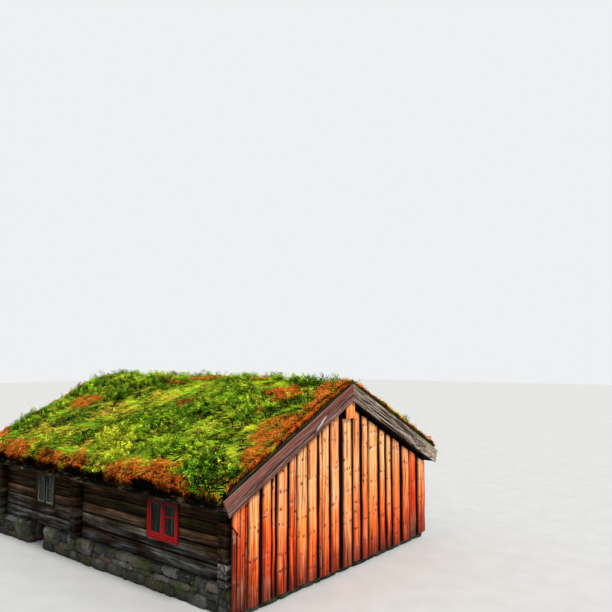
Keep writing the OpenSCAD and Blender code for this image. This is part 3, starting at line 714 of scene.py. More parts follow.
def bark_surface():
    shade = Shade("birch_bark", 0.7, 0.12)
    place = shade.place()
    broad = shade.noise(place, 3, 4, 0.6)
    band = shade.noise(shade.scaled(place, (4, 50, 50)), 1, 3, 0.6)
    level = shade.vary(broad, band, 0.7)
    # Near black as painted shade under the turf's edge, with a few pale patches.
    colour = shade.ramp(level, (0.42, (0.004, 0.003, 0.002)), (0.58, (0.016, 0.011, 0.006)),
                        (0.68, (0.30, 0.235, 0.13)))
    return shade.finish(colour, shade.bump(band, 0.5, 0.004))


def pane_surface():
    """Old window glass: painted near black as the dark room behind, with streaks of green painted reflection,
    and a little uneven.
    """
    shade = Shade("window_pane", 0.08, 0.07)
    place = shade.place()
    reflection_streaks = shade.noise(shade.scaled(place, (14, 14, 1.6)), 1, 3, 0.6)
    colour = shade.ramp(reflection_streaks, (0.42, (0.001, 0.002, 0.001)), (0.56, (0.006, 0.016, 0.006)),
                        (0.70, (0.045, 0.085, 0.040)))
    shade.surface.inputs["Alpha"].default_value = 0.95
    wave = shade.noise(place, 9, 1)
    return shade.finish(colour, shade.bump(wave, 0.15, 0.01), shade.band(reflection_streaks, 0.4, 0.7, 0.05, 0.25))


def dark_surface(name, colour):
    shade = Shade(name, 0.95, 0.0)
    fine = shade.noise(shade.place(), 40, 4)
    tint = shade.ramp(fine, (0.3, dimmed(colour, 0.5)), (0.7, dimmed(colour, 1.4)))
    return shade.finish(tint, shade.bump(fine, 0.5, 0.01))


GABLE = gable_wood()
LOGS = log_wood()
STAINED = weathered_wood("stained_board", (0.026, 0.009, 0.0065), (0.103, 0.043, 0.036), (0.33, 0.19, 0.165),
                         contrast=1.25, streaks=30, cracks=0.60, marks=stained_marks, top=(0.17, 0.18, 0.16))
GREYED = weathered_wood("greyed_board", (0.009, 0.006, 0.004), (0.090, 0.064, 0.048), (0.46, 0.36, 0.29),
                        moss=0.25, contrast=1.75, streaks=36, cracks=0.54, marks=flaked_foot,
                        top=(0.10, 0.085, 0.06))
VERGE = weathered_wood("verge_board", (0.004, 0.003, 0.002), (0.014, 0.010, 0.006), (0.050, 0.040, 0.025),
                       moss=0.25)
# Nearly black, as painted shade under the eaves and the floor.
POLE = weathered_wood("eave_pole", (0.003, 0.002, 0.0012), (0.012, 0.008, 0.0045), (0.05, 0.036, 0.020),
                      moss=0.2)
# Nearly black, as painted shade under the turf and at the eave.
ROOF = weathered_wood("roof_boards", (0.004, 0.003, 0.002), (0.018, 0.012, 0.007), (0.075, 0.052, 0.03))
SAWN = weathered_wood("floor_boards", (0.07, 0.042, 0.024), (0.20, 0.13, 0.075), (0.34, 0.25, 0.16))
DOOR = weathered_wood("door_planks", (0.022, 0.009, 0.004), (0.105, 0.050, 0.022), (0.27, 0.15, 0.070),
                      contrast=1.25, streaks=26, cracks=0.61)
CASING = weathered_wood("dark_casing", (0.005, 0.0035, 0.0020), (0.020, 0.0135, 0.0075),
                        (0.065, 0.046, 0.027))
RED = painted_wood("red_paint", (0.40, 0.008, 0.007), (0.09, 0.012, 0.008), 0.08, 0.62)
GREY = painted_wood("grey_paint", (0.16, 0.20, 0.155), (0.018, 0.019, 0.013), 0.27, 0.70)
PANE = pane_surface()
STONE = stone_surface()
SOIL = turf_surface()
BIRCH = bark_surface()
PLANTS = growth_surface()
SHADOW = dark_surface("under_boards", (0.006, 0.003, 0.002))


# Boarded gables
# Front boards as (left edge, right edge, how far the face stands out, tone from dark to light)
FRONT_BOARDS = [
    (-3.025, -2.852, 0.0, 0.45), (-2.848, -2.745, -0.004, 0.20), (-2.735, -2.690, -0.010, -0.55),
    (-2.680, -2.420, 0.003, 0.85), (-2.350, -2.135, 0.0, 0.30), (-2.115, -2.060, -0.002, 0.35),
    (-2.000, -1.745, 0.002, 0.75), (-1.690, -1.565, 0.0, 0.35), (-1.560, -1.520, -0.004, 0.10),
    (-1.495, -1.205, 0.002, 0.85), (-1.195, -0.930, 0.0, 0.75), (-0.870, -0.800, -0.003, 0.40),
    (-0.790, -0.570, 0.0, 0.80), (-0.530, -0.265, 0.002, 0.85), (-0.150, 0.140, 0.002, 0.80),
    (0.190, 0.420, 0.0, 0.75), (0.500, 0.695, 0.0, 0.55), (0.705, 1.055, 0.003, 0.75),
    (1.130, 1.330, 0.0, 0.60), (1.380, 1.555, 0.002, 0.70), (1.620, 1.920, 0.0, 0.65),
    (2.020, 2.300, 0.002, 0.75), (2.305, 2.600, -0.010, 0.10), (2.680, 3.005, 0.0, 0.65)]
# The slanting foot of the first board, and the two short boards that patch it, each with the
# heights of its head at both edges
CUT = (1.440, 1.245)
PATCH_BOARDS = [
    (-3.025, -2.936, -0.003, -0.75, (1.400, 1.310)), (-2.922, -2.852, -0.006, -0.25, (1.296, 1.225))]
CLAD_LOW, CLAD_HIGH = node_box("front_cladding")
CLAD_FOOT, CLAD_SIDE = CLAD_LOW[2], CLAD_HIGH[1]
# Depths of the slabs' faces and of the face of the boards behind them, and those boards' feet
SLAB_FACE, SLAB_BACK = CLAD_HIGH[0] + 0.010, TAIL_X + 0.012
LINING_FOOT = CLAD_FOOT + 0.02
# How uneven the slabs' feet are, how far below the roof they end, and how round their faces are
UNEVEN, SHORT, CROWN = 0.035, 0.105, 0.022
# Width of the casing round the rear door
DOOR_CASING = 0.055
# Width of the rear gable's slabs and of the gaps between them
SLAB_WIDE, SLAB_APART = (0.19, 0.31), (0.03, 0.075)


def slanted(height, share):
    """A height, or what lies between the two heights of a slanting edge."""
    first, last = height if isinstance(height, tuple) else (height, height)
    return share * (last - first) + first


def upright_board(bars, side, left, right, face, back, foot, tone, head=None, rough=0.004, crown=0.0,
                  short=0.002, step=0.10):
    """A board of a gable, from its foot up to the roof line or to its head. foot and head are a height,
    or one at each edge. crown is how far a slab's edges fall back, short how far below the roof it
    ends, and step the distance between its rings."""
    width, thick = right - left, face - back
    across, deep = (slab(width, thick, crown) if crown else bevelled(width, thick, 0.005)).T
    y = (left + right) / 2 + across * side
    share = (y - left) / width
    low = slanted(foot, share)
    top = under(y) - short if head is None else slanted(head, share)
    t = np.linspace(0, 1, max(3, int((top - low).max() / step)))[:, None]
    z = low + (top - low) * t
    x = (face + back) / 2 + deep
    seed = bars.seed()
    wander = rough * 2 * swing(spots(z, seed, np.sign(across)), 0.4, 1, 3)
    warp = rough * 2 * swing(spots(z, y, seed), 0.5, 2, 2)
    edge = abs(across) / width * 2 if crown else 0 * across
    tones = (tone, *bars.random.uniform(size=2))
    bars.add(spots(side * (x + warp), y + wander, z), spots(z, y, x), tones, edge, side > 0)


def lining(bars, side, start, end, count, spans):
    """Plain boards behind a gable's slabs, over each of some spans of height."""
    edges = itertools.pairwise(np.linspace(start, end, count + 1))
    for (left, right), (foot, head) in itertools.product(edges, spans):
        upright_board(bars, side, left + 0.002, right - 0.002, SLAB_BACK, TAIL_X, foot, 0.5, head, 0.001,
                      step=0.5)


def front_gable():
    over, behind = Bars(11), Bars(12)
    ridge_foot = node_box("ridge_end_boards")[0][2]
    for number, (left, right, out, tone) in enumerate(FRONT_BOARDS):
        foot = CLAD_FOOT + over.random.uniform(0, UNEVEN)
        short = over.random.uniform(SHORT - 0.012, SHORT + 0.012)
        head = ridge_foot - 0.008 if left < 0 < right else None
        upright_board(over, 1, left, right, SLAB_FACE + out, SLAB_BACK, foot if number else CUT, tone, head,
                      0.011, CROWN, short)
    for left, right, out, tone, head in PATCH_BOARDS:
        upright_board(over, 1, left, right, SLAB_FACE + out, SLAB_BACK, CLAD_FOOT + 0.01, tone, head, 0.005,
                      0.012)
    lining(behind, 1, -CLAD_SIDE, CLAD_SIDE, 24, [(LINING_FOOT, None)])
    over.piece("front_gable_boards", GABLE, "gable_board", "front_cladding")
    behind.piece("front_under_boards", SHADOW, "gable_board")


def board_row(random, start, end):
    """Left and right edges of slabs of mixed widths between two places."""
    row, left = [], start
    while left < end - 0.12:
        right = min(left + random.uniform(*SLAB_WIDE), end)
        if end - right < 0.14:
            right = end
        row.append((left, right))
        left = right + random.uniform(*SLAB_APART)
    return row


def rear_gable():
    over, behind = Bars(21), Bars(22)
    low, high = node_box("door_frame")
    door_side, tuck = high[1], 0.012
    for start, end in ((-CLAD_SIDE, -door_side + tuck), (door_side - tuck, CLAD_SIDE)):
        for left, right in board_row(over.random, start, end):
            foot = CLAD_FOOT + over.random.uniform(0, UNEVEN)
            upright_board(over, -1, left, right, SLAB_FACE, SLAB_BACK, foot, over.random.uniform(0.2, 0.85),
                          None, 0.011, CROWN, SHORT)
    for left, right in board_row(over.random, -door_side + 0.05, door_side - 0.03):
        tone = over.random.uniform(0.3, 0.85)
        for foot, head in ((high[2] - 0.03, None), (LINING_FOOT, low[2] + 0.03)):
            upright_board(over, -1, left, right, SLAB_FACE, SLAB_BACK, foot, tone, head, 0.008, CROWN, SHORT)
    clear = door_side - DOOR_CASING
    lining(behind, -1, -CLAD_SIDE, -clear, 10, [(LINING_FOOT, None)])
    lining(behind, -1, -clear, clear, 4, [(high[2] - 0.05, None), (LINING_FOOT, low[2] + 0.05)])
    lining(behind, -1, clear, CLAD_SIDE, 10, [(LINING_FOOT, None)])
    over.piece("rear_gable_boards", GABLE, "gable_board", "rear_cladding")
    behind.piece("rear_under_boards", SHADOW, "gable_board")


# Bargeboards, verge boards and the boards over the ridge purlin's ends
def slope_outline(node):
    """Apex foot, apex top, foot's top and foot's bottom of a sloping board, as (y, z)."""
    points = node_points(node)[:, 1:]
    apex = points[abs(points[:, 0]) < 0.001]
    foot = points[abs(points[:, 0]) > 1.0]
    order = foot[np.lexsort((-foot[:, 1], -np.round(abs(foot[:, 0]), 4)))]
    bottom = order[np.argmin(order[:, 1])]
    return apex[np.argmin(apex[:, 1])], apex[np.argmax(apex[:, 1])], order[0], bottom


def slope_board(name, node, material, slot, seed, rough=0.006):
    """A long board on the verge, following its CAD node, with worn edges."""
    low, high = node_box(node)
    apex_low, apex_top, foot_top, foot_low = slope_outline(node)
    bars = Bars(seed)
    t = np.linspace(0, 1, 40)[:, None]
    along = t * np.linalg.norm(foot_top - apex_top)
    height = np.linalg.norm(apex_top - apex_low)
    across, deep = bevelled(height, high[0] - low[0], 0.005).T
    share = across / height + 0.5
    upper = apex_top + (foot_top - apex_top) * t
    lower = apex_low + (foot_low - apex_low) * t
    place = lower[:, None, :] + (upper - lower)[:, None, :] * share[:, None]
    away = bars.seed()
    wear_and_shade = rough * 2 * swing(spots(along, share * 7, away), 0.5, 3, 3) * (abs(share - 0.5) * 2)
    warp = rough * 1.2 * swing(spots(along, share * 3, away), 0.8, 4, 2)
    rings = spots((low[0] + high[0]) / 2 + deep + warp, place[..., 0], place[..., 1] + wear_and_shade)
    bars.add(rings, spots(along, across, deep), (0.5, 0.5, 0.5), share, foot_top[0] > 0)
    bars.piece(name, material, slot, node)


def verges():
    for seed, (end, (_, side)) in enumerate(itertools.product(("front", "rear"), SIDES)):
        board, slot = (STAINED, "stained_board") if side == "near" else (GREYED, "weathered_board")
        slope_board(f"{end}_{side}_barge", f"{end}_{side}_bargeboard", board, slot, 31 + seed)
        slope_board(f"{end}_{side}_verge", f"{end}_{side}_verge_board", VERGE, "weathered_board", 41 + seed,
                    0.012)
    low, high = node_box("ridge_end_boards")
    bars = Bars(51)
    for side in (1, -1):
        face, back = high[0], high[0] - 0.024
        upright_board(bars, side, low[1] + 0.002, -0.03, face, back, low[2], -0.35)
        upright_board(bars, side, -0.026, high[1] - 0.002, face, back, low[2] + 0.006, -0.45)
    bars.piece("ridge_end_planks", GABLE, "gable_board", "ridge_end_boards")


# Log walls
def joints(node, axis):
    """Heights of a wall's log joints, from the grooves of the face where its logs end."""
    points = node_points(node)
    face = points[points[:, axis] > points[:, axis].max() - 1e-4]
    reach = abs(face[:, 1 - axis] - (face[:, 1 - axis].max() + face[:, 1 - axis].min()) / 2)
    levels = np.unique(np.round(face[:, 2], 3))
    least = np.array([reach[abs(face[:, 2] - z) < 6e-4].min() for z in levels])
    grooves = (least[1:-1] < least[:-2] - 1e-4) & (least[1:-1] < least[2:] - 1e-4)
    return [levels[0], *levels[1:-1][grooves], levels[-1]]


LONG_JOINTS = joints("near_long_wall", 0)
LOWER_JOINTS = joints("front_gable_wall", 1)
UPPER_LOGS = round((APEX - LOWER_JOINTS[-1]) / (LONG_JOINTS[3] - LONG_JOINTS[2]))
GABLE_JOINTS = [*LOWER_JOINTS, *np.linspace(LOWER_JOINTS[-1], APEX, UPPER_LOGS + 1)[1:]]
# How much a wall log's surface swells and falls, and the space that its joints leave
HEWN, JOINT = 0.007, 0.008


def log(bars, axis, start, end, offset, low, high, tone, cuts, step=0.13):
    """A hewn wall log along X (axis 0) or Y (axis 1). Each cut (from, to, floor, ceiling)
    flattens it between two places, as a notch or a window sill does."""
    height = high - low + JOINT
    places = list(np.linspace(start, end, max(3, int((end - start) / step))))
    for cut in cuts:
        places += [p for edge in cut[:2] for p in (edge - 0.001, edge + 0.001) if start < p < end]
    places = np.array(sorted(places))[:, None]
    u, v = hewn(height)
    wood = spots(places, u, v)
    away = bars.random.uniform(0, 90, 3)
    swell = swing(wood + away, 0.5, 3, 2)
    lump = swing(wood * [1, 3, 3] + away, 0.16, 4)
    size = 1 + (HEWN * 2.4 * swell + HEWN * 0.9 * lump) / (LOG / 2)
    wander = HEWN * swing(spots(places, away[0], 0), 1.1, 5)
    z = (low + high) / 2 + v * size
    for first, last, floor, ceiling in cuts:
        z = np.where((places > first) & (places < last), np.clip(z, floor, ceiling), z)
    along = np.broadcast_to(places, z.shape).copy()
    along[[0, -1]] += 0.012 * swing(wood[[0, -1]] * [0, 1, 1] + away, 0.05, 6)
    out = u * size + wander
    rings = spots(along, offset + out, z) if axis == 0 else spots(offset - out, along, z)
    bars.add(rings, wood, tone, v / height + 0.5)


def notches(low, high, crossings):
    """Where a log keeps only the middle half of its height, because another wall crosses it."""
    quarter = (high - low) / 4
    return [(start, end, low + quarter, high - quarter) for start, end in crossings]


def spans_between(start, end, holes):
    """What is left of start...end once the holes are taken out."""
    spans = []
    for low, high in sorted(holes):
        if high > start and low < end:
            spans.append((start, low))
            start = high
    return [span for span in [*spans, (start, end)] if span[1] - span[0] > 0.05]


# Space between a window's frame and the logs, and where its opening begins behind the wall's face
FRAME_GAP, FRAME_DEEP = 0.004, 0.05


def window_hole(kind):
    """Left, right and lower edge of a window's opening in the near wall, from the frame's own mesh."""
    points = node_points(kind + "_frames")
    inner = points[(points[:, 1] < 0) & (points[:, 1] > -WALL_OUT + FRAME_DEEP)]
    return inner[:, 0].min() - FRAME_GAP, inner[:, 0].max() + FRAME_GAP, inner[:, 2].min() - FRAME_GAP


HOLES = [window_hole(kind) for kind in ("front_window", "rear_window")]
HOLE_TOP = node_box("front_window_frames")[1][2]


def long_wall(side, name, seed):
    """side is -1 for the near wall and 1 for the far one."""
    bars = Bars(seed)
    crossings = [(x - LOG / 2, x + LOG / 2) for x in (-GABLE_X, CROSS_X, GABLE_X)]
    for low, high in itertools.pairwise(LONG_JOINTS):
        cuts, gone = notches(low, high, crossings), []
        for left, right, foot in HOLES:
            if high > foot + 0.01 and low < HOLE_TOP - 0.01:
                if low < foot - 0.05:
                    cuts.append((left, right, low - 0.1, foot))
                else:
                    gone.append((left, right))
        tone = (bars.random.uniform(), bars.random.uniform(0, 0.45), bars.random.uniform())
        tail = -TAIL_X + 0.002 * bars.random.uniform(0, 4)
        for start, end in spans_between(tail, TAIL_X - 0.002, gone):
            log(bars, 0, start, end, side * WALL_Y, low, high, tone, cuts)
    trim_under_roof(bars)
    bars.piece(name + "_wall_logs", LOGS, "log", name + "_long_wall", smooth=True)


def trim_under_roof(bars):
    """Flattens what would stand up through the roof boards."""
    for points in bars.points:
        points[:, 2] = np.minimum(points[:, 2], under(points[:, 1]) - 0.001)


def transverse_wall(name, x, seed, nodes, doorway=None):
    """A gable or cross wall, whose logs lie half a course off those of the long walls. doorway is
    half its width, its foot and its head."""
    bars = Bars(seed)
    for low, high in itertools.pairwise(GABLE_JOINTS):
        if low < LOWER_JOINTS[-1] - 0.01:
            reach = TAIL_Y
            cuts = notches(low, high, ((-WALL_OUT, -WALL_IN), (WALL_IN, WALL_OUT)))
        else:
            reach, cuts = min((APEX - low) / SLOPE - 0.01, WALL_IN + 0.02), []
        half, foot, head = doorway or (0, high, high)
        gone = []
        if low < head - 0.02 and high > foot + 0.02:
            if high > head + 0.02:
                cuts.append((-half, half, head, high + 0.1))
            else:
                gone.append((-half, half))
        tone = (bars.random.uniform(), bars.random.uniform(0.15, 0.7), bars.random.uniform(0, 0.6))
        for start, end in spans_between(-reach - 0.004, reach + 0.002, gone):
            log(bars, 1, start, end, x, low, high, tone, cuts, 0.2)
    trim_under_roof(bars)
    bars.piece(name, LOGS, "log", *nodes, smooth=True)


def log_walls():
    for seed, (side, name) in enumerate(SIDES, 61):
        long_wall(side, name, seed)
    low, high = node_box("door_frame")
    doorway = ((high[1] - low[1]) / 2 - DOOR_CASING, GABLE_JOINTS[1], high[2] - DOOR_CASING)
    transverse_wall("front_gable_logs", GABLE_X, 63, ["front_gable_wall"])
    transverse_wall("rear_gable_logs", -GABLE_X, 64, ["rear_gable_wall"], doorway)
    transverse_wall("cross_wall_logs", CROSS_X, 65,
                    ["cross_sill", "near_cross_wall", "far_cross_wall", "upper_cross_wall"], doorway)


def round_log(bars, start, end, radius, rough, tone=(0.5, 0.5, 0.5), points=14, step=0.12):
    """A peeled round log or pole, a little crooked and knotty."""
    start, end = np.asarray(start, float), np.asarray(end, float)
    length = np.linalg.norm(end - start)
    along = (end - start) / length
    side = np.cross(along, [0.3, 0.5, 0.81])
    side /= np.linalg.norm(side)
    out = np.cross(along, side)
    t = np.linspace(0, 1, max(3, int(length / step) + 1))[:, None] * length
    angle = 2 * np.pi * np.arange(points) / points
    wood = spots(t, radius * np.cos(angle), radius * np.sin(angle))
    away = bars.random.uniform(0, 90, 3)
    size = radius * (1 + rough * 2 * swing(wood * [1, 2, 2] + away, 0.3, 7, 2))
    bend = swing(spots(t, away[0], 0), 1.3, 8)[..., None]
    rings = (start + along * t[..., None] + side * (size * np.cos(angle))[..., None]
             + out * (size * np.sin(angle))[..., None] + bend * radius * 0.25 * (side + out))
    bars.add(rings, wood, tone)


# Floor joists, purlins and the eave logs with their pegs
def joists():
    """Sawn joists under the rear room."""
    bars = Bars(71)
    points = node_points("floor_joists")
    rear = points[points[:, 0] < CROSS_X]
    low, high = rear.min(0), rear.max(0)
    for left, right in np.unique(np.round(rear[:, 0], 3)).reshape(-1, 2):
        bars.plank((left, *low[1:]), (right, *high[1:]), 1, step=0.3)
    bars.piece("joist_logs", POLE, "log", "floor_joists", smooth=True)


def purlins():
    bars = Bars(72)
    low, high = node_box("ridge_purlin")
    radius = (high[1] - low[1]) / 2
    beams = [(low[0], high[0], 0, low[2] + radius, radius)]
    low, high = node_box("side_purlins")
    near = node_points("side_purlins")
    near = near[near[:, 1] < 0]
    inner, outer = near[:, 1].max(), near[:, 1].min()
    radius = (inner - outer) / 2
    beams += [(low[0], high[0], side * (inner + outer) / 2, low[2] + radius, radius) for side in (1, -1)]
    for start, end, y, z, radius in beams:
        round_log(bars, (start, y, z), (end, y, z), radius * 0.985, 0.02)
    trim_under_roof(bars)
    bars.piece("purlin_logs", LOGS, "log", "ridge_purlin", "side_purlins", smooth=True)


def eave_pole(side, name):
    bars = Bars(73 + side)
    points = node_points(name + "_eave_log")
    end = points[abs(points[:, 0] - points[:, 0].max()) < 1e-3]
    low, high = end.min(0), end.max(0)
    y, z = (low[1] + high[1]) / 2, (low[2] + high[2]) / 2
    round_log(bars, (-ROOF_X, y, z), (ROOF_X - 0.01, y, z), (high[2] - low[2]) / 2, 0.09)
    pegs = points[points[:, 2] < low[2] - 0.01]
    y = (pegs[:, 1].min() + pegs[:, 1].max()) / 2
    for near_x in np.unique(np.round(pegs[:, 0], 1)):
        peg = pegs[abs(pegs[:, 0] - near_x) < 0.08]
        x = peg[:, 0].mean()
        if abs(x - near_x) < 0.051:
            round_log(bars, (x, y, peg[:, 2].min()), (x, y, high[2] - 0.02), 0.015, 0.1, (0.1, 0.5, 0.5), 8,
                      0.05)
    bars.piece(name + "_eave_pole", POLE, "eave_log", name + "_eave_log", smooth=True)


# Floors and roof
# Narrowest and widest boards of floor and roof, and how far past the eave a roof board ends
FLOOR_WIDE, ROOF_WIDE, EAVE_UNEVEN = (0.17, 0.24), (0.17, 0.27), (-0.035, 0.012)


def floors():
    for seed, room in enumerate(("front", "rear"), 81):
        low, high = node_box(room + "_floor")
        bars = Bars(seed)
        y = low[1]
        while y < high[1] - 0.05:
            right = min(high[1], y + bars.random.uniform(*FLOOR_WIDE))
            bars.plank((low[0] + 0.002, y + 0.002, low[2]), (high[0] - 0.002, right - 0.002, high[2]), 0,
                       step=0.4, rough=0.001)
            y = right
        bars.piece(room + "_floor_planks", SAWN, "floor_board", room + "_floor")


def roof_boards(side, name):
    """Boards down the slope, with uneven ends at the eave."""
    bars = Bars(83 + side)
    t = np.linspace(0, 1, 16)[:, None]
    x = -ROOF_X
    while x < ROOF_X - 0.01:
        right = min(ROOF_X, x + bars.random.uniform(*ROOF_WIDE))
        if ROOF_X - right < 0.1:
            right = ROOF_X
        reach = EAVE + bars.random.uniform(*EAVE_UNEVEN)
        across, deep = bevelled(right - x - 0.003, DECK, 0.004).T
        y = TOP_GAP + (reach - TOP_GAP) * t + 0 * across
        sag = 0.002 * swing(spots(y * 3, x, 0), 0.5, 2)
        rings = spots((x + right) / 2 + across, side * y, under(y) + (DECK / 2 + deep * 0.98) + sag)
        bars.add(rings, spots(y, across, deep), bars.tones(), turned=side < 0)
        x = right
    bars.piece(name + "_roof_planks", ROOF, "roof_board", name + "_roof_boards")


def bark(side, name):
    """Sheets of birch bark under the turf, whose torn edges show past the boards."""
    columns, rows = 330, 6
    x = np.linspace(-ROOF_X, ROOF_X, columns)[:, None]
    tear = noise(spots(x, side, 0), 0.45, 21) + 0.5 * noise(spots(x, side, 0), 0.07, 22, 2)
    reach = EAVE + 0.055 * (tear - 0.75)
    y = TOP_GAP + (reach - TOP_GAP) * np.linspace(0, 1, rows)**0.35
    curl = held((y - EAVE + 0.05) / 0.06)**2
    droop = -0.05 * curl * np.clip(noise(spots(x, side, 5), 0.2, 23, 2) - 0.40, -0.1, 1)
    z = under(y) + DECK + droop + 0.0005
    points = np.concatenate([spots(x, side * y, z + (BARK - 0.001)), spots(x, side * y, z)]).reshape(-1, 3)
    grid = np.arange(columns * rows).reshape(columns, rows)
    quads = sheet_faces(grid, grid + columns * rows)
    mesh = new_mesh(name + "_bark_sheets", points, quads[:, ::side], smooth=False)
    new_piece(name + "_bark_sheets", mesh, BIRCH, "birch_bark", name + "_bark")


# Windows
# How deep the panes sit in the sashes' grooves, and their thickness
GROOVE, PANE_THICK = 0.008, 0.0034


def window(kind, casing_paint, paint, slot, bar_share, barred):
    """Casing, frame, sashes and glazing bars of one kind of window, on both long walls. bar_share is
    how far up the pane its bar lies, and barred says which of the two sashes have one."""
    right, foot = window_hole(kind)[1:]
    (x0, out, z0), (x1, _, z1) = node_box(kind + "_frames")
    sash_low, sash_high = node_box(kind + "_sashes")
    glass_low, glass_high = node_box(kind + "_glass")
    sash, panes = near_points(kind + "_sashes"), near_points(kind + "_glass")
    face, back = sash[:, 1].min(), sash[:, 1].max()
    middle = (x0 + x1) / 2
    inner = sash[sash[:, 0] > middle][:, 0].min() - middle
    stile = panes[panes[:, 0] > middle][:, 0].min() - middle - inner + GROOVE
    casing, jamb = x1 - right + FRAME_GAP, sash_low[0] - x0 - 0.004
    out, wall = out - 0.004, -WALL_OUT + 0.01
    frame_back = near_points(kind + "_frames")[:, 1].max()
    bar = glass_low[2] + bar_share * (glass_high[2] - glass_low[2])
    s0, s1 = sash_low[2], sash_high[2]
    frames, sashes, glass = Bars(91), Bars(92), []
    for side in (1, -1):
        def put(bars, *place):
            member(bars, 0, *place, rough=0.0015, step=0.06, shift=lambda rings: rings * [1, side, 1])
        put(frames, (x0, z0), (x0 + casing, z1), out, wall)
        put(frames, (x1 - casing, z0), (x1, z1), out, wall)
        put(frames, (x0 + casing, z1 - casing), (x1 - casing, z1), out + 0.002, wall)
        put(frames, (x0 - 0.006, z0 - 0.004), (x1 + 0.006, z0 + casing), out - 0.006, wall)
        for first, second in (((x0 + casing * 0.6, foot), (x0 + jamb, z1)),
                              ((x1 - jamb, foot), (x1 - casing * 0.6, z1)),
                              ((x0 + jamb, foot), (x1 - jamb, z0 + jamb)),
                              ((x0 + jamb, z1 - jamb), (x1 - jamb, z1)),
                              ((middle - inner + 0.004, z0 + jamb), (middle + inner - 0.004, z1 - jamb))):
            put(frames, first, second, out + 0.008, frame_back)
        for way in (-1, 1):
            a0, a1 = sorted((middle + way * inner, middle + way * (sash_high[0] - middle)))
            b0, b1 = a0 + stile, a1 - stile
            put(sashes, (a0, s0), (b0, s1), face, back)
            put(sashes, (b1, s0), (a1, s1), face, back)
            put(sashes, (b0, s0), (b1, s0 + stile * 1.15), face, back)
            put(sashes, (b0, s1 - stile), (b1, s1), face, back)
            if way in barred:
                put(sashes, (b0, bar - 0.009), (b1, bar + 0.009), face + 0.006, back - 0.006)
            glass.append((b0 - GROOVE, b1 + GROOVE, s0 + stile - GROOVE, s1 - stile + GROOVE, side))
    frames.piece(kind + "_casing", casing_paint, slot, kind + "_frames")
    sashes.piece(kind + "_lights", paint, slot, kind + "_sashes")
    pane_sheets(kind, glass, panes[:, 1].mean())


def pane_sheets(kind, panes, depth):
    """Old drawn panes: thin closed sheets that wave a little."""
    points, quads, n = [], [], 9
    for number, (left, right, low, high, side) in enumerate(panes):
        x, z = np.meshgrid(np.linspace(left, right, n), np.linspace(low, high, n), indexing="ij")
        wave = 0.0012 * swing(spots(x, z, side), 0.15, 31)
        for shift in (-PANE_THICK / 2, PANE_THICK / 2):
            points.append(spots(x, side * (depth + wave + shift), z).reshape(-1, 3))
        grid = 2 * n * n * number + np.arange(n * n).reshape(n, n)
        quads.append(sheet_faces(grid, grid + n * n)[:, ::side])
    mesh = new_mesh(kind + "_panes", np.concatenate(points), np.concatenate(quads), smooth=False)
    new_piece(kind + "_panes", mesh, PANE, "window_glass", kind + "_glass")


def windows():
    window("front_window", RED, RED, "red_paint", 0.62, (1,))
    window("rear_window", CASING, GREY, "grey_paint", 0.58, (-1, 1))


# Door in the rear gable
# Its wooden grip: how far it is from the door's edge, its foot above the door's foot, its length,
# thickness and how far it stands out, and its tone
GRIP_IN, GRIP_UP, GRIP_LONG, GRIP_THICK, GRIP_OUT = 0.085, 0.62, 0.19, 0.026, 0.050
GRIP_TONE = (-0.4, 0.5, 0.5)
# Space between boards that meet, and how far the stops lie behind the casing's face
BOARD_GAP, STOP_IN = 0.004, 0.006
PLANKS = np.cumsum([0, 0.17, 0.13, 0.16, 0.14, 0.15])
PLANK_THICK = 0.042


def door():
    (face, y0, z0), (back, y1, z1) = node_box("door_frame")
    (leaf_face, a0, b0), (leaf_back, a1, b1) = node_box("door_leaf")
    frames, planks = Bars(95), Bars(96)
    y2, y3, z2, z3 = y0 + DOOR_CASING, y1 - DOOR_CASING, z0 + DOOR_CASING, z1 - DOOR_CASING
    for first, second in (((y0, z0), (y2, z1)), ((y3, z0), (y1, z1)), ((y2, z3), (y3, z1)),
                          ((y2, z0), (y3, z2))):
        member(frames, 1, first, second, face, -CLAD_HIGH[0])
    lap = DOOR_CASING * 0.9
    y2, y3, z2, z3 = y0 + lap, y1 - lap, z0 + lap, z1 - lap
    for first, second in (((y2, z2), (a0 - BOARD_GAP, z3)), ((a1 + BOARD_GAP, z2), (y3, z3)),
                          ((a0, z2), (a1, b0 - BOARD_GAP)), ((a0, b1 + BOARD_GAP), (a1, z3))):
        member(frames, 1, first, second, face + STOP_IN, back)
    frames.piece("door_surround", DOOR, "door_wood", "door_frame")
    edges = a0 + PLANKS / PLANKS[-1] * (a1 - a0)
    inner = leaf_face + PLANK_THICK
    for left, right in itertools.pairwise(edges):
        tone = (planks.random.uniform(-0.1, 1.1), 0.5, 0.5)
        member(planks, 1, (left + BOARD_GAP, b0), (right - BOARD_GAP, b1), leaf_face, inner, tone=tone,
               bevel=0.007)
    ledges = node_points("door_leaf")
    ledges = ledges[ledges[:, 0] > leaf_back - 1e-4]
    for foot, head in np.unique(np.round(ledges[:, 2], 4)).reshape(-1, 2):
        member(planks, 1, (ledges[:, 1].min(), foot), (ledges[:, 1].max(), head), inner, leaf_back)
    y, foot, half = a1 - GRIP_IN, b0 + GRIP_UP, GRIP_THICK / 2
    out = leaf_face - GRIP_OUT
    member(planks, 1, (y - half, foot), (y + half, foot + GRIP_LONG), out, out + GRIP_THICK, tone=GRIP_TONE)
    for z in (foot + 0.03, foot + GRIP_LONG - 0.03):
        planks.bar((out + half, y, z), (leaf_face + 0.004, y, z), GRIP_THICK, GRIP_THICK, (0, 0, 1),
                   GRIP_TONE)
    planks.piece("door_planks", DOOR, "door_wood", "door_leaf")


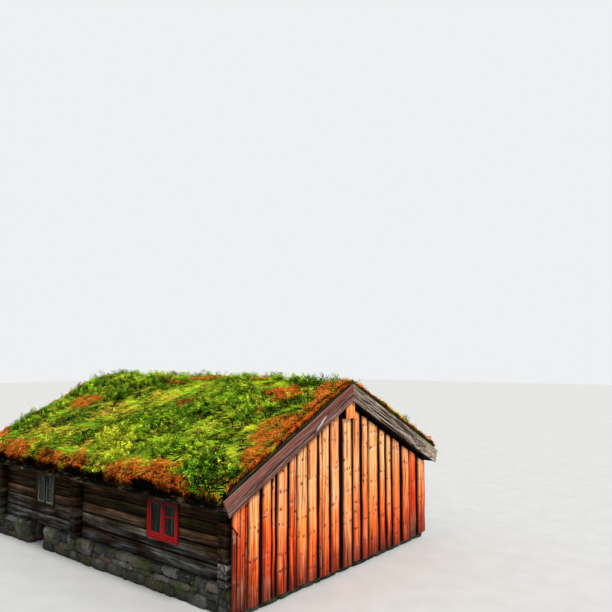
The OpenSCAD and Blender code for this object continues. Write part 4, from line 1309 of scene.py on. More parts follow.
# Dry stonework
def stone(form, centre, size, random):
    """Points and tone of a field stone: a subdivided cube pushed towards a ball, and roughened."""
    away = random.uniform(0, 50, 3)
    ball = form / np.linalg.norm(form, axis=1, keepdims=True)
    share = random.uniform(0.35, 0.75)
    made = form * (1 - share) + ball * share * 1.22
    made = made * (1 + 0.36 * swing(form + away, 1.1, 41, 2)[:, None])
    made += 0.16 * swing(form * 2 + away, 0.9, 43)[:, None] * ball
    made = made + np.cross(random.normal(0, 0.09, 3), made)
    tone = [random.uniform(), random.uniform(), random.uniform(0.1, 1), 1.0]
    return centre + made * size / 2, tone


def cube_form(n):
    """Points and four-sided faces of a cube from -1 to 1, with n by n faces a side."""
    points, quads = {}, []
    grid = np.linspace(-1, 1, n + 1)
    for axis, sign in itertools.product(range(3), (-1, 1)):
        for i, j in itertools.product(range(n), repeat=2):
            face = []
            for a, b in ((i, j), (i + 1, j), (i + 1, j + 1), (i, j + 1)):
                spot = [0.0, 0.0, 0.0]
                spot[axis] = float(sign)
                spot[(axis + 1) % 3], spot[(axis + 2) % 3] = grid[a], grid[b]
                key = tuple(round(v, 6) for v in spot)
                face.append(points.setdefault(key, len(points)))
            quads.append(face if sign > 0 else face[::-1])
    return np.array(list(points)), np.array(quads)


def stonework(node, seed, fineness):
    """Rows of stones through the full thickness, round a near-black core that stands as painted shade
    in the gaps between them, for each block of a node.
    """
    random = np.random.default_rng(seed)
    form, form_faces = cube_form(fineness)
    shadow_core, shadow_core_faces = cube_form(1)
    points, quads, tones = [], [], []
    for low, high in blocks_of(node):
        run = int(np.argmax((high - low)[:2]))
        thick = (high - low)[1 - run]
        z = low[2]
        while z < high[2] - 0.03:
            row = min(random.uniform(*STONE_HIGH), high[2] - z)
            if high[2] - z - row < 0.08:
                row = high[2] - z
            at = low[run] - random.uniform(0, 0.1)
            while at < high[run] - 0.02:
                start, end = max(at, low[run]), min(at + random.uniform(*STONE_WIDE), high[run])
                if high[run] - end < 0.09:
                    end = high[run]
                for half in (-1, 1) if end - start > 0.05 else ():
                    centre, size = np.zeros(3), np.zeros(3)
                    centre[run], size[run] = (start + end) / 2, (end - start) * 1.02
                    tall = random.uniform(0.98, 1.22)
                    centre[2], size[2] = z + row / 2 + random.uniform(-0.012, 0.012), row * tall
                    centre[1 - run] = (low + high)[1 - run] / 2 + half * thick / 4 * 1.02
                    centre[1 - run] += half * random.uniform(-0.018, 0.008)
                    size[1 - run] = thick / 2 * 1.03
                    made, tone = stone(form, centre, size, random)
                    points.append(made)
                    quads.append(form_faces)
                    tones.append(tone)
                at = end + 0.001
            z += row
        points.append((low + high) / 2 + shadow_core * ((high - low) / 2 - SHADOW_CORE_INSET))
        quads.append(shadow_core_faces)
        tones.append([0.0, 0.0, 0.0, 1.0])
    quads = joined(quads, points)
    tones = np.repeat(tones, [len(part) for part in points], axis=0)
    points = np.concatenate(points)
    points[:, 2] = np.clip(points[:, 2], 0.0, node_box(node)[1][2])
    mesh = new_mesh(node + "_stones", points, quads, smooth=True)
    give(mesh, "tone", "FLOAT_COLOR", tones)
    new_piece(node + "_stones", mesh, STONE, "stone", node)


def blocks_of(node):
    """Boxes of the separate solids of a CAD node made of plain blocks."""
    keys = [tuple(point) for point in np.round(node_points(node), 4)]
    group = {}

    def find(key):
        while group.setdefault(key, key) != key:
            group[key] = group[group[key]]
            key = group[key]
        return key
    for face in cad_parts[node].data.polygons:
        first = find(keys[face.vertices[0]])
        for corner in face.vertices[1:]:
            group[find(keys[corner])] = first
    parts = {}
    for key, point in zip(keys, node_points(node)):
        parts.setdefault(find(key), []).append(point)
    return [(np.min(part, axis=0), np.max(part, axis=0)) for part in parts.values()]


# How far the near-black core, painted shade between the stones, lies inside its block
SHADOW_CORE_INSET = np.array([0.05, 0.05, 0.02])
# Height of a row of stones, and width of a stone
STONE_HIGH, STONE_WIDE = (0.10, 0.20), (0.16, 0.52)
# Nodes of stonework, with how finely their stones are divided
STONEWORK = {"near_plinth": 4, "far_plinth": 4, "front_plinth": 3, "cross_plinth": 2, "rear_piers": 4}


def plinths():
    for seed, (node, fineness) in enumerate(STONEWORK.items(), 101):
        stonework(node, seed, fineness)


# Turf beds
TURF_LOW, TURF_HIGH = node_box("near_turf")
TURF_X, TURF_Y, LIP = TURF_HIGH[0], -TURF_LOW[1], TURF_LOW[2]
SEAT = node_box("near_eave_log")[1][2]
SEAT_IN = -node_box("near_eave_log")[1][1] - 0.02
# How far the soil lies below the solids' turf, and a height above the whole roof
GROWTH, ABOVE = 0.06, 9


class Slope:
    """One side of the roof: how high its turf stands, and which way that surface looks."""

    def __init__(self, side, name):
        self.side, self.name = side, name
        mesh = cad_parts[name + "_turf"].data
        tree = BVHTree.FromPolygons([v.co for v in mesh.vertices], [tuple(p.vertices) for p in mesh.polygons])
        self.x = np.linspace(-TURF_X, TURF_X, 241)
        self.y = np.linspace(0, TURF_Y, 101)
        inside_x = np.clip(self.x, -TURF_X + 0.01, TURF_X - 0.01)
        inside_y = np.clip(self.y, 0.01, TURF_Y - 0.012)
        top = np.array([[tree.ray_cast((x, side * y, ABOVE), (0, 0, -1))[0].z for y in inside_y]
                        for x in inside_x])
        places = spots(self.x[:, None], self.y, side * 3)
        lump, fine = swing(places, 0.55, 51, 3), swing(places, 0.16, 53, 2)
        self.mound = held(0.5 + 1.2 * fine + 1.0 * lump)
        edge = held((self.y - TURF_Y + 0.22) / 0.22)**2
        self.bed = top - GROWTH + 0.06 * lump + 0.04 * fine - 0.04 * edge

    def read(self, values, x, y):
        """values between the grid's places."""
        a = np.clip((x + TURF_X) / (2 * TURF_X) * (len(self.x) - 1), 0, len(self.x) - 1.001)
        b = np.clip(y / TURF_Y * (len(self.y) - 1), 0, len(self.y) - 1.001)
        i, j = a.astype(int), b.astype(int)
        a, b = a - i, b - j
        return ((values[i, j] * (1 - a) + values[i + 1, j] * a) * (1 - b)
                + (values[i, j + 1] * (1 - a) + values[i + 1, j + 1] * a) * b)

    def ground(self, x, y):
        """Points of the bed, and its normals there."""
        z = self.read(self.bed, x, y)
        over = self.read(self.bed, x + 0.03, y) - self.read(self.bed, x - 0.03, y)
        down = self.read(self.bed, x, y + 0.03) - self.read(self.bed, x, y - 0.03)
        normal = spots(-over / 0.06, -down / 0.06 * self.side, 1)
        return spots(x, self.side * y, z), normal / np.linalg.norm(normal, axis=-1, keepdims=True)


def turf_bed(slope):
    """The closed body of soil: its top, the edge that hangs over the eave log and its flat foot."""
    x = np.linspace(-TURF_X, TURF_X, 141)[:, None]
    y_top = np.linspace(0.002, TURF_Y - 0.035, 42)
    top = slope.read(slope.bed, x, y_top)
    share = np.array([0.10, 0.3, 0.55, 0.8, 0.96])
    lip = LIP + 0.012 + 0.02 * noise(spots(x, 7, slope.side), 0.15, 57, 2)
    swell = 0.03 * (noise(spots(x, share, slope.side), 0.12, 58, 2) - 0.6)
    edge_y = TURF_Y - np.array([0.014, 0.004, 0.0, 0.004, 0.016]) + swell
    edge_z = top[:, -1:] + (lip - top[:, -1:]) * share
    foot_y = np.array([TURF_Y - 0.07, TURF_Y - 0.135, SEAT_IN + 0.10, SEAT_IN + 0.05, SEAT_IN,
                       SEAT_IN - 0.01, *np.linspace(SEAT_IN - 0.2, 0.002, 12)])
    foot_z = under(foot_y) + DECK + BARK
    foot_z[:5] = LIP + 0.012, LIP + 0.02, SEAT + 0.003, SEAT + 0.003, SEAT
    y, z = (np.concatenate([np.broadcast_to(part, (len(x), part.shape[-1])) for part in parts], 1)
            for parts in ((y_top, edge_y, foot_y), (top, edge_z, foot_z)))
    n, m = y.shape
    index = np.arange(n * m).reshape(n, m)
    across = np.roll(index, -1, axis=1)
    quads = [faces_of(index[:-1], index[1:], across[1:], across[:-1])]
    half = len(y_top)
    low = np.round(np.interp(np.linspace(0, 1, half), [0, 1], [m - 1, half])).astype(int)
    for ring, turn in ((index[0], 1), (index[-1], -1)):
        cap = faces_of(ring[:half - 1], ring[low[:-1]], ring[low[1:]], ring[1:half])
        quads.append(cap[:, ::turn])
    quads = np.concatenate(quads)[:, ::-slope.side]
    mesh = new_mesh(slope.name + "_turf_bed", spots(x, slope.side * y, z).reshape(-1, 3), quads, smooth=True)
    new_piece(slope.name + "_turf_bed", mesh, SOIL, "turf", slope.name + "_turf")


# What grows on the roof
# Patches seen on the near slope, by kind, as (along the ridge, down from it, reach along, reach down)
PATCHES = {
    "rust": [(4.00, 0.45, 0.32, 0.42), (3.90, 1.80, 0.36, 0.52), (4.00, 2.55, 0.22, 0.30),
             (3.05, 0.65, 0.34, 0.26), (2.35, 3.24, 0.90, 0.15), (-0.35, 3.31, 0.75, 0.07),
             (-2.60, 3.24, 0.75, 0.12), (4.06, 1.25, 0.16, 0.60), (-2.75, 1.50, 0.50, 0.20),
             (0.70, 1.25, 0.22, 0.12), (-3.75, 3.05, 0.30, 0.22), (2.95, 1.35, 0.16, 0.10),
             (3.58, 3.28, 0.22, 0.07), (0.10, 0.28, 0.55, 0.07), (-0.75, 0.45, 0.35, 0.06),
             (1.85, 0.22, 0.30, 0.06)],
    # Deep patches are dark green growth, partly painted shadow in the turf's hollows.
    "deep": [(3.25, 0.12, 0.42, 0.22), (1.45, 1.55, 0.45, 0.22), (0.55, 1.95, 0.45, 0.14),
             (-0.95, 0.55, 0.70, 0.24), (-1.85, 1.25, 0.45, 0.20), (-3.70, 2.40, 0.45, 0.45),
             (-2.10, 2.05, 0.50, 0.14), (-0.75, 2.75, 0.35, 0.16), (-3.50, 0.70, 0.40, 0.50),
             (2.30, 3.00, 0.20, 0.32), (0.10, 2.45, 0.50, 0.10), (-2.60, 0.60, 0.30, 0.35),
             (3.42, 2.98, 0.62, 0.34), (3.60, 1.02, 0.28, 0.14), (3.98, 3.00, 0.16, 0.28)],
    "fresh": [(2.10, 1.05, 1.05, 0.55), (0.95, 1.90, 0.60, 0.35), (2.90, 1.55, 0.45, 0.35),
              (-1.90, 0.55, 0.50, 0.35), (1.60, 0.15, 0.90, 0.18), (2.80, 2.45, 0.40, 0.30),
              (-3.30, 1.20, 0.60, 0.60), (1.75, 2.70, 0.60, 0.20)],
    "dry": [(-2.25, 2.60, 0.85, 0.32), (-0.60, 2.80, 0.60, 0.22), (-1.10, 1.75, 0.75, 0.35),
            (2.20, 2.20, 0.35, 0.16), (-0.10, 1.15, 0.45, 0.25), (3.90, 3.24, 0.10, 0.06),
            (0.35, 0.10, 0.60, 0.12), (-1.20, 0.15, 0.45, 0.14)],
    "leafy": [(1.05, 3.12, 0.36, 0.26), (0.35, 2.72, 0.42, 0.28), (-1.60, 2.95, 0.30, 0.25)]}


def growth(x, y, side):
    """How much of each kind of growth there is at a place, from 0 to 1."""
    place = spots(x, y, side * 5)
    bent_x = x * -side + 0.75 * swing(place, 0.40, 61, 4)
    bent_y = y + 0.55 * swing(place, 0.30, 64, 4)
    found = {kind: np.zeros(np.shape(x)) for kind in PATCHES}
    for kind, patches in PATCHES.items():
        for along, down, wide, tall in patches:
            reach = ((bent_x - along) / wide)**2 + ((bent_y - down) / tall)**2
            found[kind] = np.maximum(found[kind], held(1.6 - reach) * 0.9)
    loose = held(3.0 * noise(place, 0.16, 69, 3) - 0.85)
    edge = 0.8 * held((y - TURF_Y + 0.40) / 0.20)
    verge = held((abs(x) - TURF_X + 0.24) / 0.14) * held(6 * noise(place, 0.40, 67, 3) - 3.1)
    lip = held((y - TURF_Y + 0.15) / 0.10) * held(5 * noise(place, 0.45, 68, 3) - 2.0)
    found["rust"] = np.max([found["rust"] * (loose + (1 - loose) * edge), verge, lip], axis=0)
    return found


# The way the grass is swept, along the ridge and down the slope, and how far the wind bends that
SWEEP = np.array([-0.62, 0.78])
WIND = 0.42


def wind(x, y, side):
    return WIND * swing(spots(x, y, side * 3), 0.9, 85, 2)


def combed(x, y, side, width, length, seed):
    """Noise from 0 to 1 in streaks that follow the sweep, about width across and length long."""
    along = (x * SWEEP[0] + y * SWEEP[1]) / length
    across = (y * SWEEP[0] - x * SWEEP[1] + wind(x, y, side)) / width
    return noise(spots(along, across, side * 3), 1.0, seed, 2)


def sweep_angle(x, y, side):
    """The way those streaks run at x, y."""
    step = 0.04
    turn_x = (wind(x + step, y, side) - wind(x - step, y, side)) / (2 * step)
    turn_y = (wind(x, y + step, side) - wind(x, y - step, side)) / (2 * step)
    return np.arctan2(SWEEP[1] - turn_x, SWEEP[0] + turn_y)


# How far a blade's two edges lie from its place in the palette
HUE_EDGE = np.array([0, 0.006])


def ribbons(roots, up, lean, length, width, stiff, hue, bright, rows, spin=None):
    """Blades as narrow strips that bend over, the less the stiffer. hue and bright are places in the
    growth's palette."""
    side = unit(np.cross(up, lean))
    if spin is not None:
        side = side * np.cos(spin)[:, None] + lean * np.sin(spin)[:, None]
    points, places = [], []
    for row in range(rows + 1):
        t = row / rows
        rise, reach = t * (1 - 0.35 * t), t * t * 0.9 + 0.1 * t
        bend = up * (rise * stiff)[:, None] + lean * (reach * (1 - stiff * 0.45))[:, None]
        centre = roots + bend * length[:, None]
        # Painted shade: a blade darkens towards its root.
        tone = np.stack([np.clip(bright * (0.20 + 0.80 * t), 0.02, 0.98), hue], -1)
        if row < rows:
            half = (width / 2 * (1 - 0.3 * t))[:, None]
            points += [centre - side * half, centre + side * half]
            places += [tone - HUE_EDGE, tone + HUE_EDGE]
        else:
            points.append(centre)
            places.append(tone)
    points, places = np.stack(points, 1), np.stack(places, 1)
    start = (np.arange(len(roots)) * points.shape[1])[:, None]
    quads = [start + [2 * k, 2 * k + 1, 2 * k + 3, 2 * k + 2] for k in range(rows - 1)]
    tris = start + [2 * rows - 2, 2 * rows - 1, 2 * rows]
    return points, np.concatenate([NO_QUADS, *quads]), tris, places


def leaves(roots, up, face, length, width, hue, bright):
    """Leaves as folded diamonds that grow from roots along up."""
    side = unit(np.cross(up, face)) * width[:, None] / 2
    middle = roots + up * (length * 0.5)[:, None]
    lift = face * (length * 0.10)[:, None]
    tip = roots + up * length[:, None] - lift
    points = np.stack([roots, middle - side + lift, tip, middle + side + lift], 1)
    start = (np.arange(len(roots)) * 4)[:, None]
    # Painted shade: a leaf is darker at its foot than at its tip.
    tone = [np.stack([np.clip(bright * k, 0.02, 0.98), hue], -1) for k in (0.50, 0.92, 1.0, 0.80)]
    tone[1], tone[3] = tone[1] - HUE_EDGE, tone[3] + HUE_EDGE
    return points, NO_QUADS, np.concatenate([start + [0, 2, 1], start + [0, 3, 2]]), np.stack(tone, 1)


# The furthest growth bends in before the last of these distances past the solids, from the first on
REIN = (0.01, 0.10)
REIN_Y = (0.05, 0.15)


def reined(values, start, end):
    """values that slow down past start and never reach end."""
    over = np.maximum(values - start, 0) / (end - start)
    return np.minimum(values, start) + (end - start) * np.tanh(over)


def grown_piece(name, *parts):
    """One piece from parts of points, faces and palette places."""
    points, quads, tris, places = zip(*parts)
    points, places = ([part.reshape(-1, part.shape[-1]) for part in found] for found in (points, places))
    quads, tris = joined(quads, points), joined(tris, points)
    points = np.concatenate(points)
    high_x, high_y, high_z = cad_box[1]
    points[:, 2] = reined(points[:, 2], high_z + REIN[0], high_z + REIN[1])
    for axis, high, (start, end) in ((0, high_x, REIN), (1, high_y, REIN_Y)):
        points[:, axis] = np.sign(points[:, axis]) * reined(abs(points[:, axis]), high + start, high + end)
    mesh = new_mesh(name, points, quads, tris, smooth=True)
    loops = np.zeros(len(mesh.loops), np.int32)
    mesh.loops.foreach_get("vertex_index", loops)
    layer = mesh.uv_layers.new(name="OFBake")
    layer.data.foreach_set("uv", np.concatenate(places)[loops].astype(np.float32).ravel())
    new_piece(name, mesh, PLANTS, "turf")


def sown(random, count, chance, spare=3.0):
    """Places on a slope, kept as often as chance(x, y) says."""
    x = random.uniform(-TURF_X + 0.02, TURF_X - 0.02, int(count * spare))
    y = random.uniform(0.0, TURF_Y - 0.02, int(count * spare))
    keep = random.uniform(0, 1, len(x)) < chance(x, y)
    return x[keep][:count], y[keep][:count]


# Palette place of each kind, the strongest last
HUES = {"fresh": 0.26, "dry": 0.48, "leafy": 0.385, "deep": 0.14, "rust": 0.86}


def blend_hue(x, y, found, random):
    """Palette place for growth at x, y: the strongest kind wins, with strays."""
    hue = 0.295 + 0.24 * swing(spots(x, y, 1), 0.9, 81, 2)
    for kind, place in HUES.items():
        take = random.uniform(0, 1, len(x)) < found[kind] * 1.15
        hue = np.where(take, place, hue)
    hue = hue + random.normal(0, 0.035, len(x))
    stray = random.uniform(0, 1, len(x))
    hue = np.where(stray < 0.04, random.uniform(0.56, 0.72, len(x)), hue)
    return np.clip(hue, 0.02, 0.97)


def grass(slope, name, seed, tufts=3100, blades=9):
    """Tufts of blades that bend down the slope, each tuft with its own colour, size and sweep."""
    random = np.random.default_rng(seed)
    side = slope.side

    def chance(x, y):
        found = growth(x, y, side)
        thin = noise(spots(x, y, 9), 0.13, 83, 2)
        ridge = 0.5 * held(1.2 - y / 0.16)
        return np.clip(0.55 + 1.9 * (thin - 0.46) - 0.85 * found["rust"] + ridge, 0.02, 1)
    x, y = sown(random, tufts, chance)
    count = len(x)
    which = np.repeat(np.arange(count), blades)
    total = len(which)
    mound = slope.read(slope.mound, x, y)
    found = growth(x, y, side)
    ridge = held(1.2 - y / 0.16)
    upright = held(1.3 * found["fresh"] + found["deep"] + 0.7 * found["leafy"] - 0.2 + 0.8 * ridge)
    large = np.exp(random.normal(0, 0.22, count)) * (0.70 + 0.6 * mound)
    tuft_bright = random.normal(0, 0.20, count)
    tuft_hue = blend_hue(x, y, found, random)
    mound, upright, large, ridge = mound[which], upright[which], large[which], ridge[which]
    spread = 0.034 - 0.016 * upright
    px = np.clip(x[which] + random.normal(0, 1, total) * spread, -TURF_X + 0.01, TURF_X - 0.01)
    py = np.clip(y[which] + random.normal(0, 1, total) * spread, 0, TURF_Y - 0.02)
    roots, normal = slope.ground(px, py)
    # Painted light and shade: lighter along the combed streaks and on the mounds' tops, darker in the hollows
    # between them. The growth also turns darker towards the near slope's rear and the far slope's front.
    streak = combed(px, py, side, 0.040, 0.28, 86)
    knot = noise(spots(px, py, side * 7), 0.055, 84, 2)
    light = streak + (knot - streak) * upright - 0.5
    bright = 0.90 + 3.1 * light + 1.2 * (mound - 0.5) + tuft_bright[which] + random.normal(0, 0.11, total)
    bright = bright - 0.20 * held(0.5 + side * px / 3)
    bright = bright - 0.14 * found["deep"][which] + 0.10 * found["fresh"][which]
    stripe = combed(px, py, side, 0.13, 0.55, 88) - 0.5
    hue = tuft_hue[which] + 0.42 * stripe + 0.10 * light + random.normal(0, 0.014, total)
    hue = np.where(tuft_hue[which] > 0.75, tuft_hue[which], np.clip(hue, 0.08, 0.58))
    angle = sweep_angle(px, py, side) + random.normal(0, 1, total) * (0.30 + 0.5 * upright + 1.6 * ridge)
    lean = spots(np.cos(angle), side * np.sin(angle), 0)
    lean = unit(lean - normal * (lean * normal).sum(-1, keepdims=True))
    up = unit(normal * 0.65 + [0, 0, 0.5] + random.normal(0, 0.14, (total, 3)))
    long = random.uniform(0.10, 0.19, total) * large * (1 - 0.25 * upright)
    stiff = np.clip(random.normal(0.40, 0.12, total) + 0.45 * upright, 0.2, 1)
    grown_piece(name, ribbons(roots - normal * 0.012, up, lean, long, random.uniform(0.006, 0.013, total),
                              stiff, np.clip(hue, 0.02, 0.97), np.clip(bright, 0.04, 1), 2,
                              random.uniform(-1.2, 1.2, total)))


def herbs(slope, name, seed, plants=3000, leaf_count=14):
    """Low leafy plants, thickest where the slope is fresh or deep green, that hang over the eave."""
    random = np.random.default_rng(seed)
    side = slope.side

    def chance(x, y):
        found = growth(x, y, side)
        patch = noise(spots(x, y, 5), 0.35, 87, 2)
        ridge = held(1 - y / 0.35)
        return np.clip(0.65 * found["fresh"] + 0.9 * found["deep"] + 1.6 * found["leafy"] + 0.4 * ridge
                       + 2.2 * (patch - 0.58) - 0.5 * found["rust"] - 0.2, 0.01, 1)
    x, y = sown(random, plants, chance, 8)
    found = growth(x, y, side)
    roots, normal = slope.ground(x, y)
    count = len(x)
    large = np.exp(random.normal(0, 0.28, count))
    tall = random.uniform(0.08, 0.14, count) * large
    over = held((y - TURF_Y + 0.30) / 0.28)
    hang = spots(0, side * 1.3 * over, -1.0 * over)
    stem = unit(normal * 0.5 + [0, 0, 0.8] + hang + random.normal(0, 0.22, (count, 3)))
    hue = np.where(found["deep"] > 0.4, 0.17, 0.31) + random.normal(0, 0.035, count)
    hue = np.where(found["leafy"] > 0.3, 0.40 + random.normal(0, 0.06, count), hue)
    hue = np.where(random.uniform(0, 1, count) < 0.12, random.uniform(0.38, 0.48, count), hue)
    knot = noise(spots(x, y, side * 7), 0.11, 84, 2)
    shade = np.clip(0.62 + 1.9 * (knot - 0.5) + random.normal(0, 0.14, count), 0.15, 0.95)
    which = np.repeat(np.arange(count), leaf_count)
    step = np.tile(np.linspace(0.25, 1, leaf_count), count)
    angle = np.tile(np.arange(leaf_count) * 2.4, count)
    angle = angle + np.repeat(random.uniform(0, 6.28, count), leaf_count)
    across = unit(np.cross(stem, [1.0, 0.2, 0.1]))
    other = np.cross(stem, across)
    way = across[which] * np.cos(angle)[:, None] + other[which] * np.sin(angle)[:, None]
    total = len(which)
    start = roots[which] + stem[which] * (tall[which] * step)[:, None]
    start = start + way * (random.uniform(0, 0.028, total) * (1.3 - step))[:, None]
    along = unit(way + stem[which] * (0.25 + 0.7 * step**3)[:, None] + random.normal(0, 0.2, (total, 3)))
    face = unit(stem[which] * 1.0 - way * 0.4 + random.normal(0, 0.2, (total, 3)))
    long = random.uniform(0.026, 0.044, total) * (1.2 - 0.45 * step) * large[which]
    wide = long * random.uniform(0.42, 0.62, total)
    tint = hue[which] + 0.12 * (step - 0.6) + random.normal(0, 0.014, total)
    # Painted shade: a plant's lower leaves are darker than its upper ones.
    leaf = leaves(start, along, face, long, wide, np.clip(tint, 0.02, 0.97),
                  np.clip(shade[which] * (0.30 + 0.78 * step) + random.normal(0, 0.13, total), 0.05, 1))
    stems = ribbons(roots - stem * 0.02, stem, across, tall * 1.05 + 0.02, np.full(count, 0.004),
                    np.full(count, 1.0), np.full(count, 0.20), np.full(count, 0.4), 1)
    grown_piece(name, leaf, stems)


VERGE_TOP = node_box("front_near_verge_board")[1][2] - APEX


def rim_growth(random, slope, roots, up, lean, long, x, y, share, dark=0.45, rusty=0.0):
    """Growth that stands out of the turf's rim, darkened towards its foot by painted shade; dark is how
    much painted shade darkens it all.
    """
    count = len(roots)
    x, y = np.broadcast_to(x, count), np.broadcast_to(y, count)
    found = growth(x, y, slope.side)
    rust = found["rust"] + 1.5 * (noise(roots, 0.30, 96, 2) - 0.35) + 0.3 * (1 - share) + rusty
    rust = np.clip(rust, 0.1, 0.96)
    hue = np.where(random.uniform(0, 1, count) < rust, 0.88, blend_hue(x, y, found, random))
    hue = hue + random.normal(0, 0.03, count)
    knot = noise(roots, 0.07, 95, 2)
    bright = np.clip(0.95 * share - dark + 1.1 * knot + random.normal(0, 0.12, count), 0.02, 1)
    return ribbons(roots, up, lean, long, random.uniform(0.004, 0.010, count), np.full(count, 0.55),
                   np.clip(hue, 0.1, 0.97), bright, 2, random.uniform(-1.2, 1.2, count))


def moss(slope, name, seed, count=38000, fringe=6500, flank=5000, stalks=260):
    """Short rust-coloured growth, the fringe that hangs over the eave, and dry stalks."""
    random = np.random.default_rng(seed)
    side = slope.side
    x, y = sown(random, count, lambda x, y: growth(x, y, side)["rust"]**1.2 + 0.03, 14)
    found = growth(x, y, side)
    roots, normal = slope.ground(x, y)
    knot = noise(spots(x, y, 2), 0.06, 89, 2)
    up = unit(normal + random.normal(0, 0.5, (len(x), 3)))
    lean = unit(np.cross(up, random.normal(0, 1, (len(x), 3))))
    long = random.uniform(0.03, 0.075, len(x)) * (0.6 + 0.9 * knot)
    hue = np.where(found["rust"] > 0.15, 0.86, 0.46) + random.normal(0, 0.035, len(x)) - 0.10 * (knot - 0.5)
    hue = np.where(random.uniform(0, 1, len(x)) < 0.04, random.uniform(0.45, 0.72, len(x)), hue)
    # Painted light and shade: lighter on the mounds' tops, darker in the hollows.
    bright = 2.3 * knot - 0.20 + 0.6 * (slope.read(slope.mound, x, y) - 0.5) + random.normal(0, 0.22, len(x))
    bright = np.clip(bright, 0.05, 1)
    hue = np.where(hue > 0.7, hue - 0.05 * held(bright - 0.6), hue)
    lift = normal * (0.07 * (knot - 0.3) + 0.025)[:, None]
    parts = [ribbons(roots + lift, up, lean, long, random.uniform(0.006, 0.012, len(x)),
                     np.full(len(x), 0.8), np.clip(hue, 0.3, 0.97), bright, 1,
                     random.uniform(-1.5, 1.5, len(x)))]
    x = random.uniform(-TURF_X + 0.02, TURF_X - 0.02, fringe)
    share = random.uniform(0, 1, fringe)
    top = slope.read(slope.bed, x, np.full(fringe, TURF_Y - 0.03))
    tuft = noise(spots(x, 0, side), 0.13, 91, 2)
    swag = np.clip(3.2 * noise(spots(x, 3, side), 0.42, 92, 2) - 1.0, 0, 1.2)
    low = LIP + 0.12 - 0.11 * swag
    roots = spots(x, side * (TURF_Y - 0.018), low + (top - low) * share**0.8)
    up = unit(spots(0, side, 0.5 * share) + random.normal(0, 0.25, (fringe, 3)))
    lean = unit(spots(0.2, side * 0.5, -0.8) + random.normal(0, 0.3, (fringe, 3)))
    long = random.uniform(0.04, 0.10, fringe) * (0.20 + 1.5 * tuft)
    long = long * (0.55 + 0.5 * share) * (0.5 + 0.7 * swag)
    parts.append(rim_growth(random, slope, roots, up, lean, long, x, TURF_Y - 0.1, share))
    for end in (-1, 1):
        y = random.uniform(0.0, TURF_Y - 0.05, flank)
        share = random.uniform(0, 1.5, flank)
        back = 0.10 * held(share - 1) + 0.004
        share = np.minimum(share, 1)
        top = slope.read(slope.bed, end * (TURF_X - back), y)
        low = under(y) + VERGE_TOP
        tuft = noise(spots(0, y, end), 0.16, 94, 2)
        roots = spots(end * (TURF_X - back), side * y, low + (top - low) * share)
        up = unit(spots(end, side * 0.2, 0.4 + 0.6 * share) + random.normal(0, 0.3, (flank, 3)))
        lean = unit(spots(end * 0.5, side * 0.6, -0.6) + random.normal(0, 0.3, (flank, 3)))
        long = random.uniform(0.04, 0.09, flank) * (0.3 + 1.3 * tuft)
        # The flank beside the verge boards gets more painted shade.
        parts.append(rim_growth(random, slope, roots, up, lean, long, end * (TURF_X - 0.1), y, share,
                                0.55, 0.3))
    x, y = sown(random, stalks, lambda x, y: held(noise(spots(x, y, 8), 0.6, 93) * 2 - 0.9)
                * held(y / 0.5), 12)
    roots, normal = slope.ground(x, y)
    up = unit(spots(0, 0, np.ones(len(x))) + random.normal(0, 0.18, (len(x), 3)))
    lean = unit(spots(0.5, side * 1.0, 0) + random.normal(0, 0.6, (len(x), 3)))
    parts.append(ribbons(roots, up, lean, random.uniform(0.16, 0.27, len(x)), np.full(len(x), 0.004),
                         np.full(len(x), 0.95), random.uniform(0.58, 0.74, len(x)),
                         random.uniform(0.6, 1, len(x)), 4))
    grown_piece(name, *parts)


def turf():
    for side, name in SIDES:
        slope = Slope(side, name)
        turf_bed(slope)
        for part in range(2):
            grass(slope, f"{name}_grass_{part + 1}", 201 + 10 * side + part)
        herbs(slope, name + "_herbs", 221 + side)
        moss(slope, name + "_moss", 231 + side)


# Stage, light and camera
# How far the floor reaches from the house's middle
FLOOR = 90


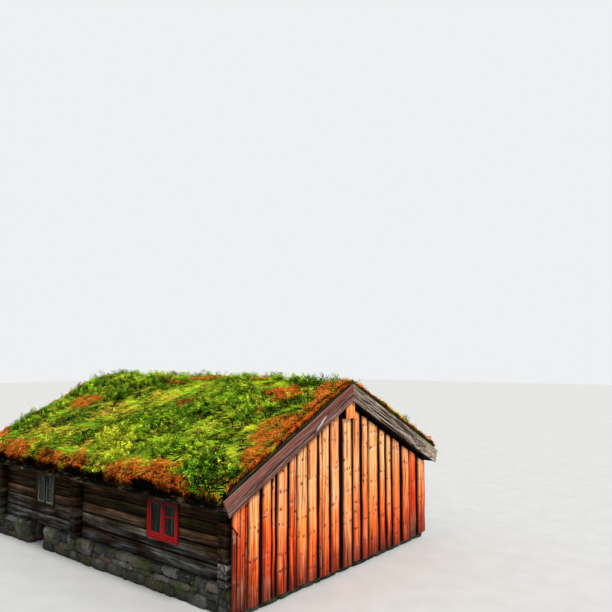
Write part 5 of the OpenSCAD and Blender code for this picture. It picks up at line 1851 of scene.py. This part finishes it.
def stage():
    """A pale floor, an even sky that the camera sees as a pale ground, and one soft sun."""
    corners = [(FLOOR * x, FLOOR * y, 0) for x, y in ((-1, -1), (1, -1), (1, 1), (-1, 1))]
    mesh = new_mesh("floor", corners, [(0, 1, 2, 3)])
    shade = Shade("pale_floor", 0.9, 0.1)
    grain = shade.noise(shade.place(), 2, 3)
    tint = shade.ramp(grain, (0.3, (0.50, 0.50, 0.49)), (0.7, (0.54, 0.54, 0.53)))
    mesh.materials.append(shade.finish(tint))
    floor = bpy.data.objects.new("floor", mesh)
    scene.collection.objects.link(floor)
    world = bpy.data.worlds.new("studio")
    scene.world = world
    world.use_nodes = True
    tree = world.node_tree
    light = tree.nodes["Background"]
    seen, path, either, both = (tree.nodes.new("ShaderNode" + kind)
                                for kind in ("Background", "LightPath", "Math", "MixShader"))
    light.inputs["Color"].default_value = (0.96, 0.98, 1.0, 1)
    light.inputs["Strength"].default_value = SKY
    seen.inputs["Color"].default_value = (0.86, 0.87, 0.88, 1)
    either.operation = "MAXIMUM"
    for source, socket in ((path.outputs["Is Camera Ray"], either.inputs[0]),
                           (path.outputs["Is Transmission Ray"], either.inputs[1]),
                           (either.outputs[0], both.inputs[0]),
                           (light.outputs[0], both.inputs[1]),
                           (seen.outputs[0], both.inputs[2]),
                           (both.outputs[0], tree.nodes["World Output"].inputs["Surface"])):
        tree.links.new(source, socket)
    lamp = bpy.data.lights.new("key", "SUN")
    lamp.energy = KEY
    lamp.angle = math.radians(KEY_WIDE)
    lamp.color = (1.0, 0.975, 0.94)
    key = bpy.data.objects.new("key", lamp)
    key.rotation_euler = (math.radians(KEY_TILT), 0, math.radians(KEY_TURN))
    scene.collection.objects.link(key)


def camera():
    data = bpy.data.cameras.new("camera")
    data.sensor_width = SENSOR
    data.lens = SENSOR * FOCAL_PIXELS / PHOTO_SIDE
    made = bpy.data.objects.new("camera", data)
    made.location = CAMERA_PLACE
    made.rotation_euler = (math.radians(CAMERA_TILT), 0, math.radians(CAMERA_TURN))
    scene.collection.objects.link(made)
    scene.camera = made


scene.view_settings.view_transform = "Standard"
camera()
stage()
plinths()
log_walls()
joists()
purlins()
for half in SIDES:
    eave_pole(*half)
floors()
for half in SIDES:
    roof_boards(*half)
    bark(*half)
front_gable()
rear_gable()
verges()
windows()
door()
turf()
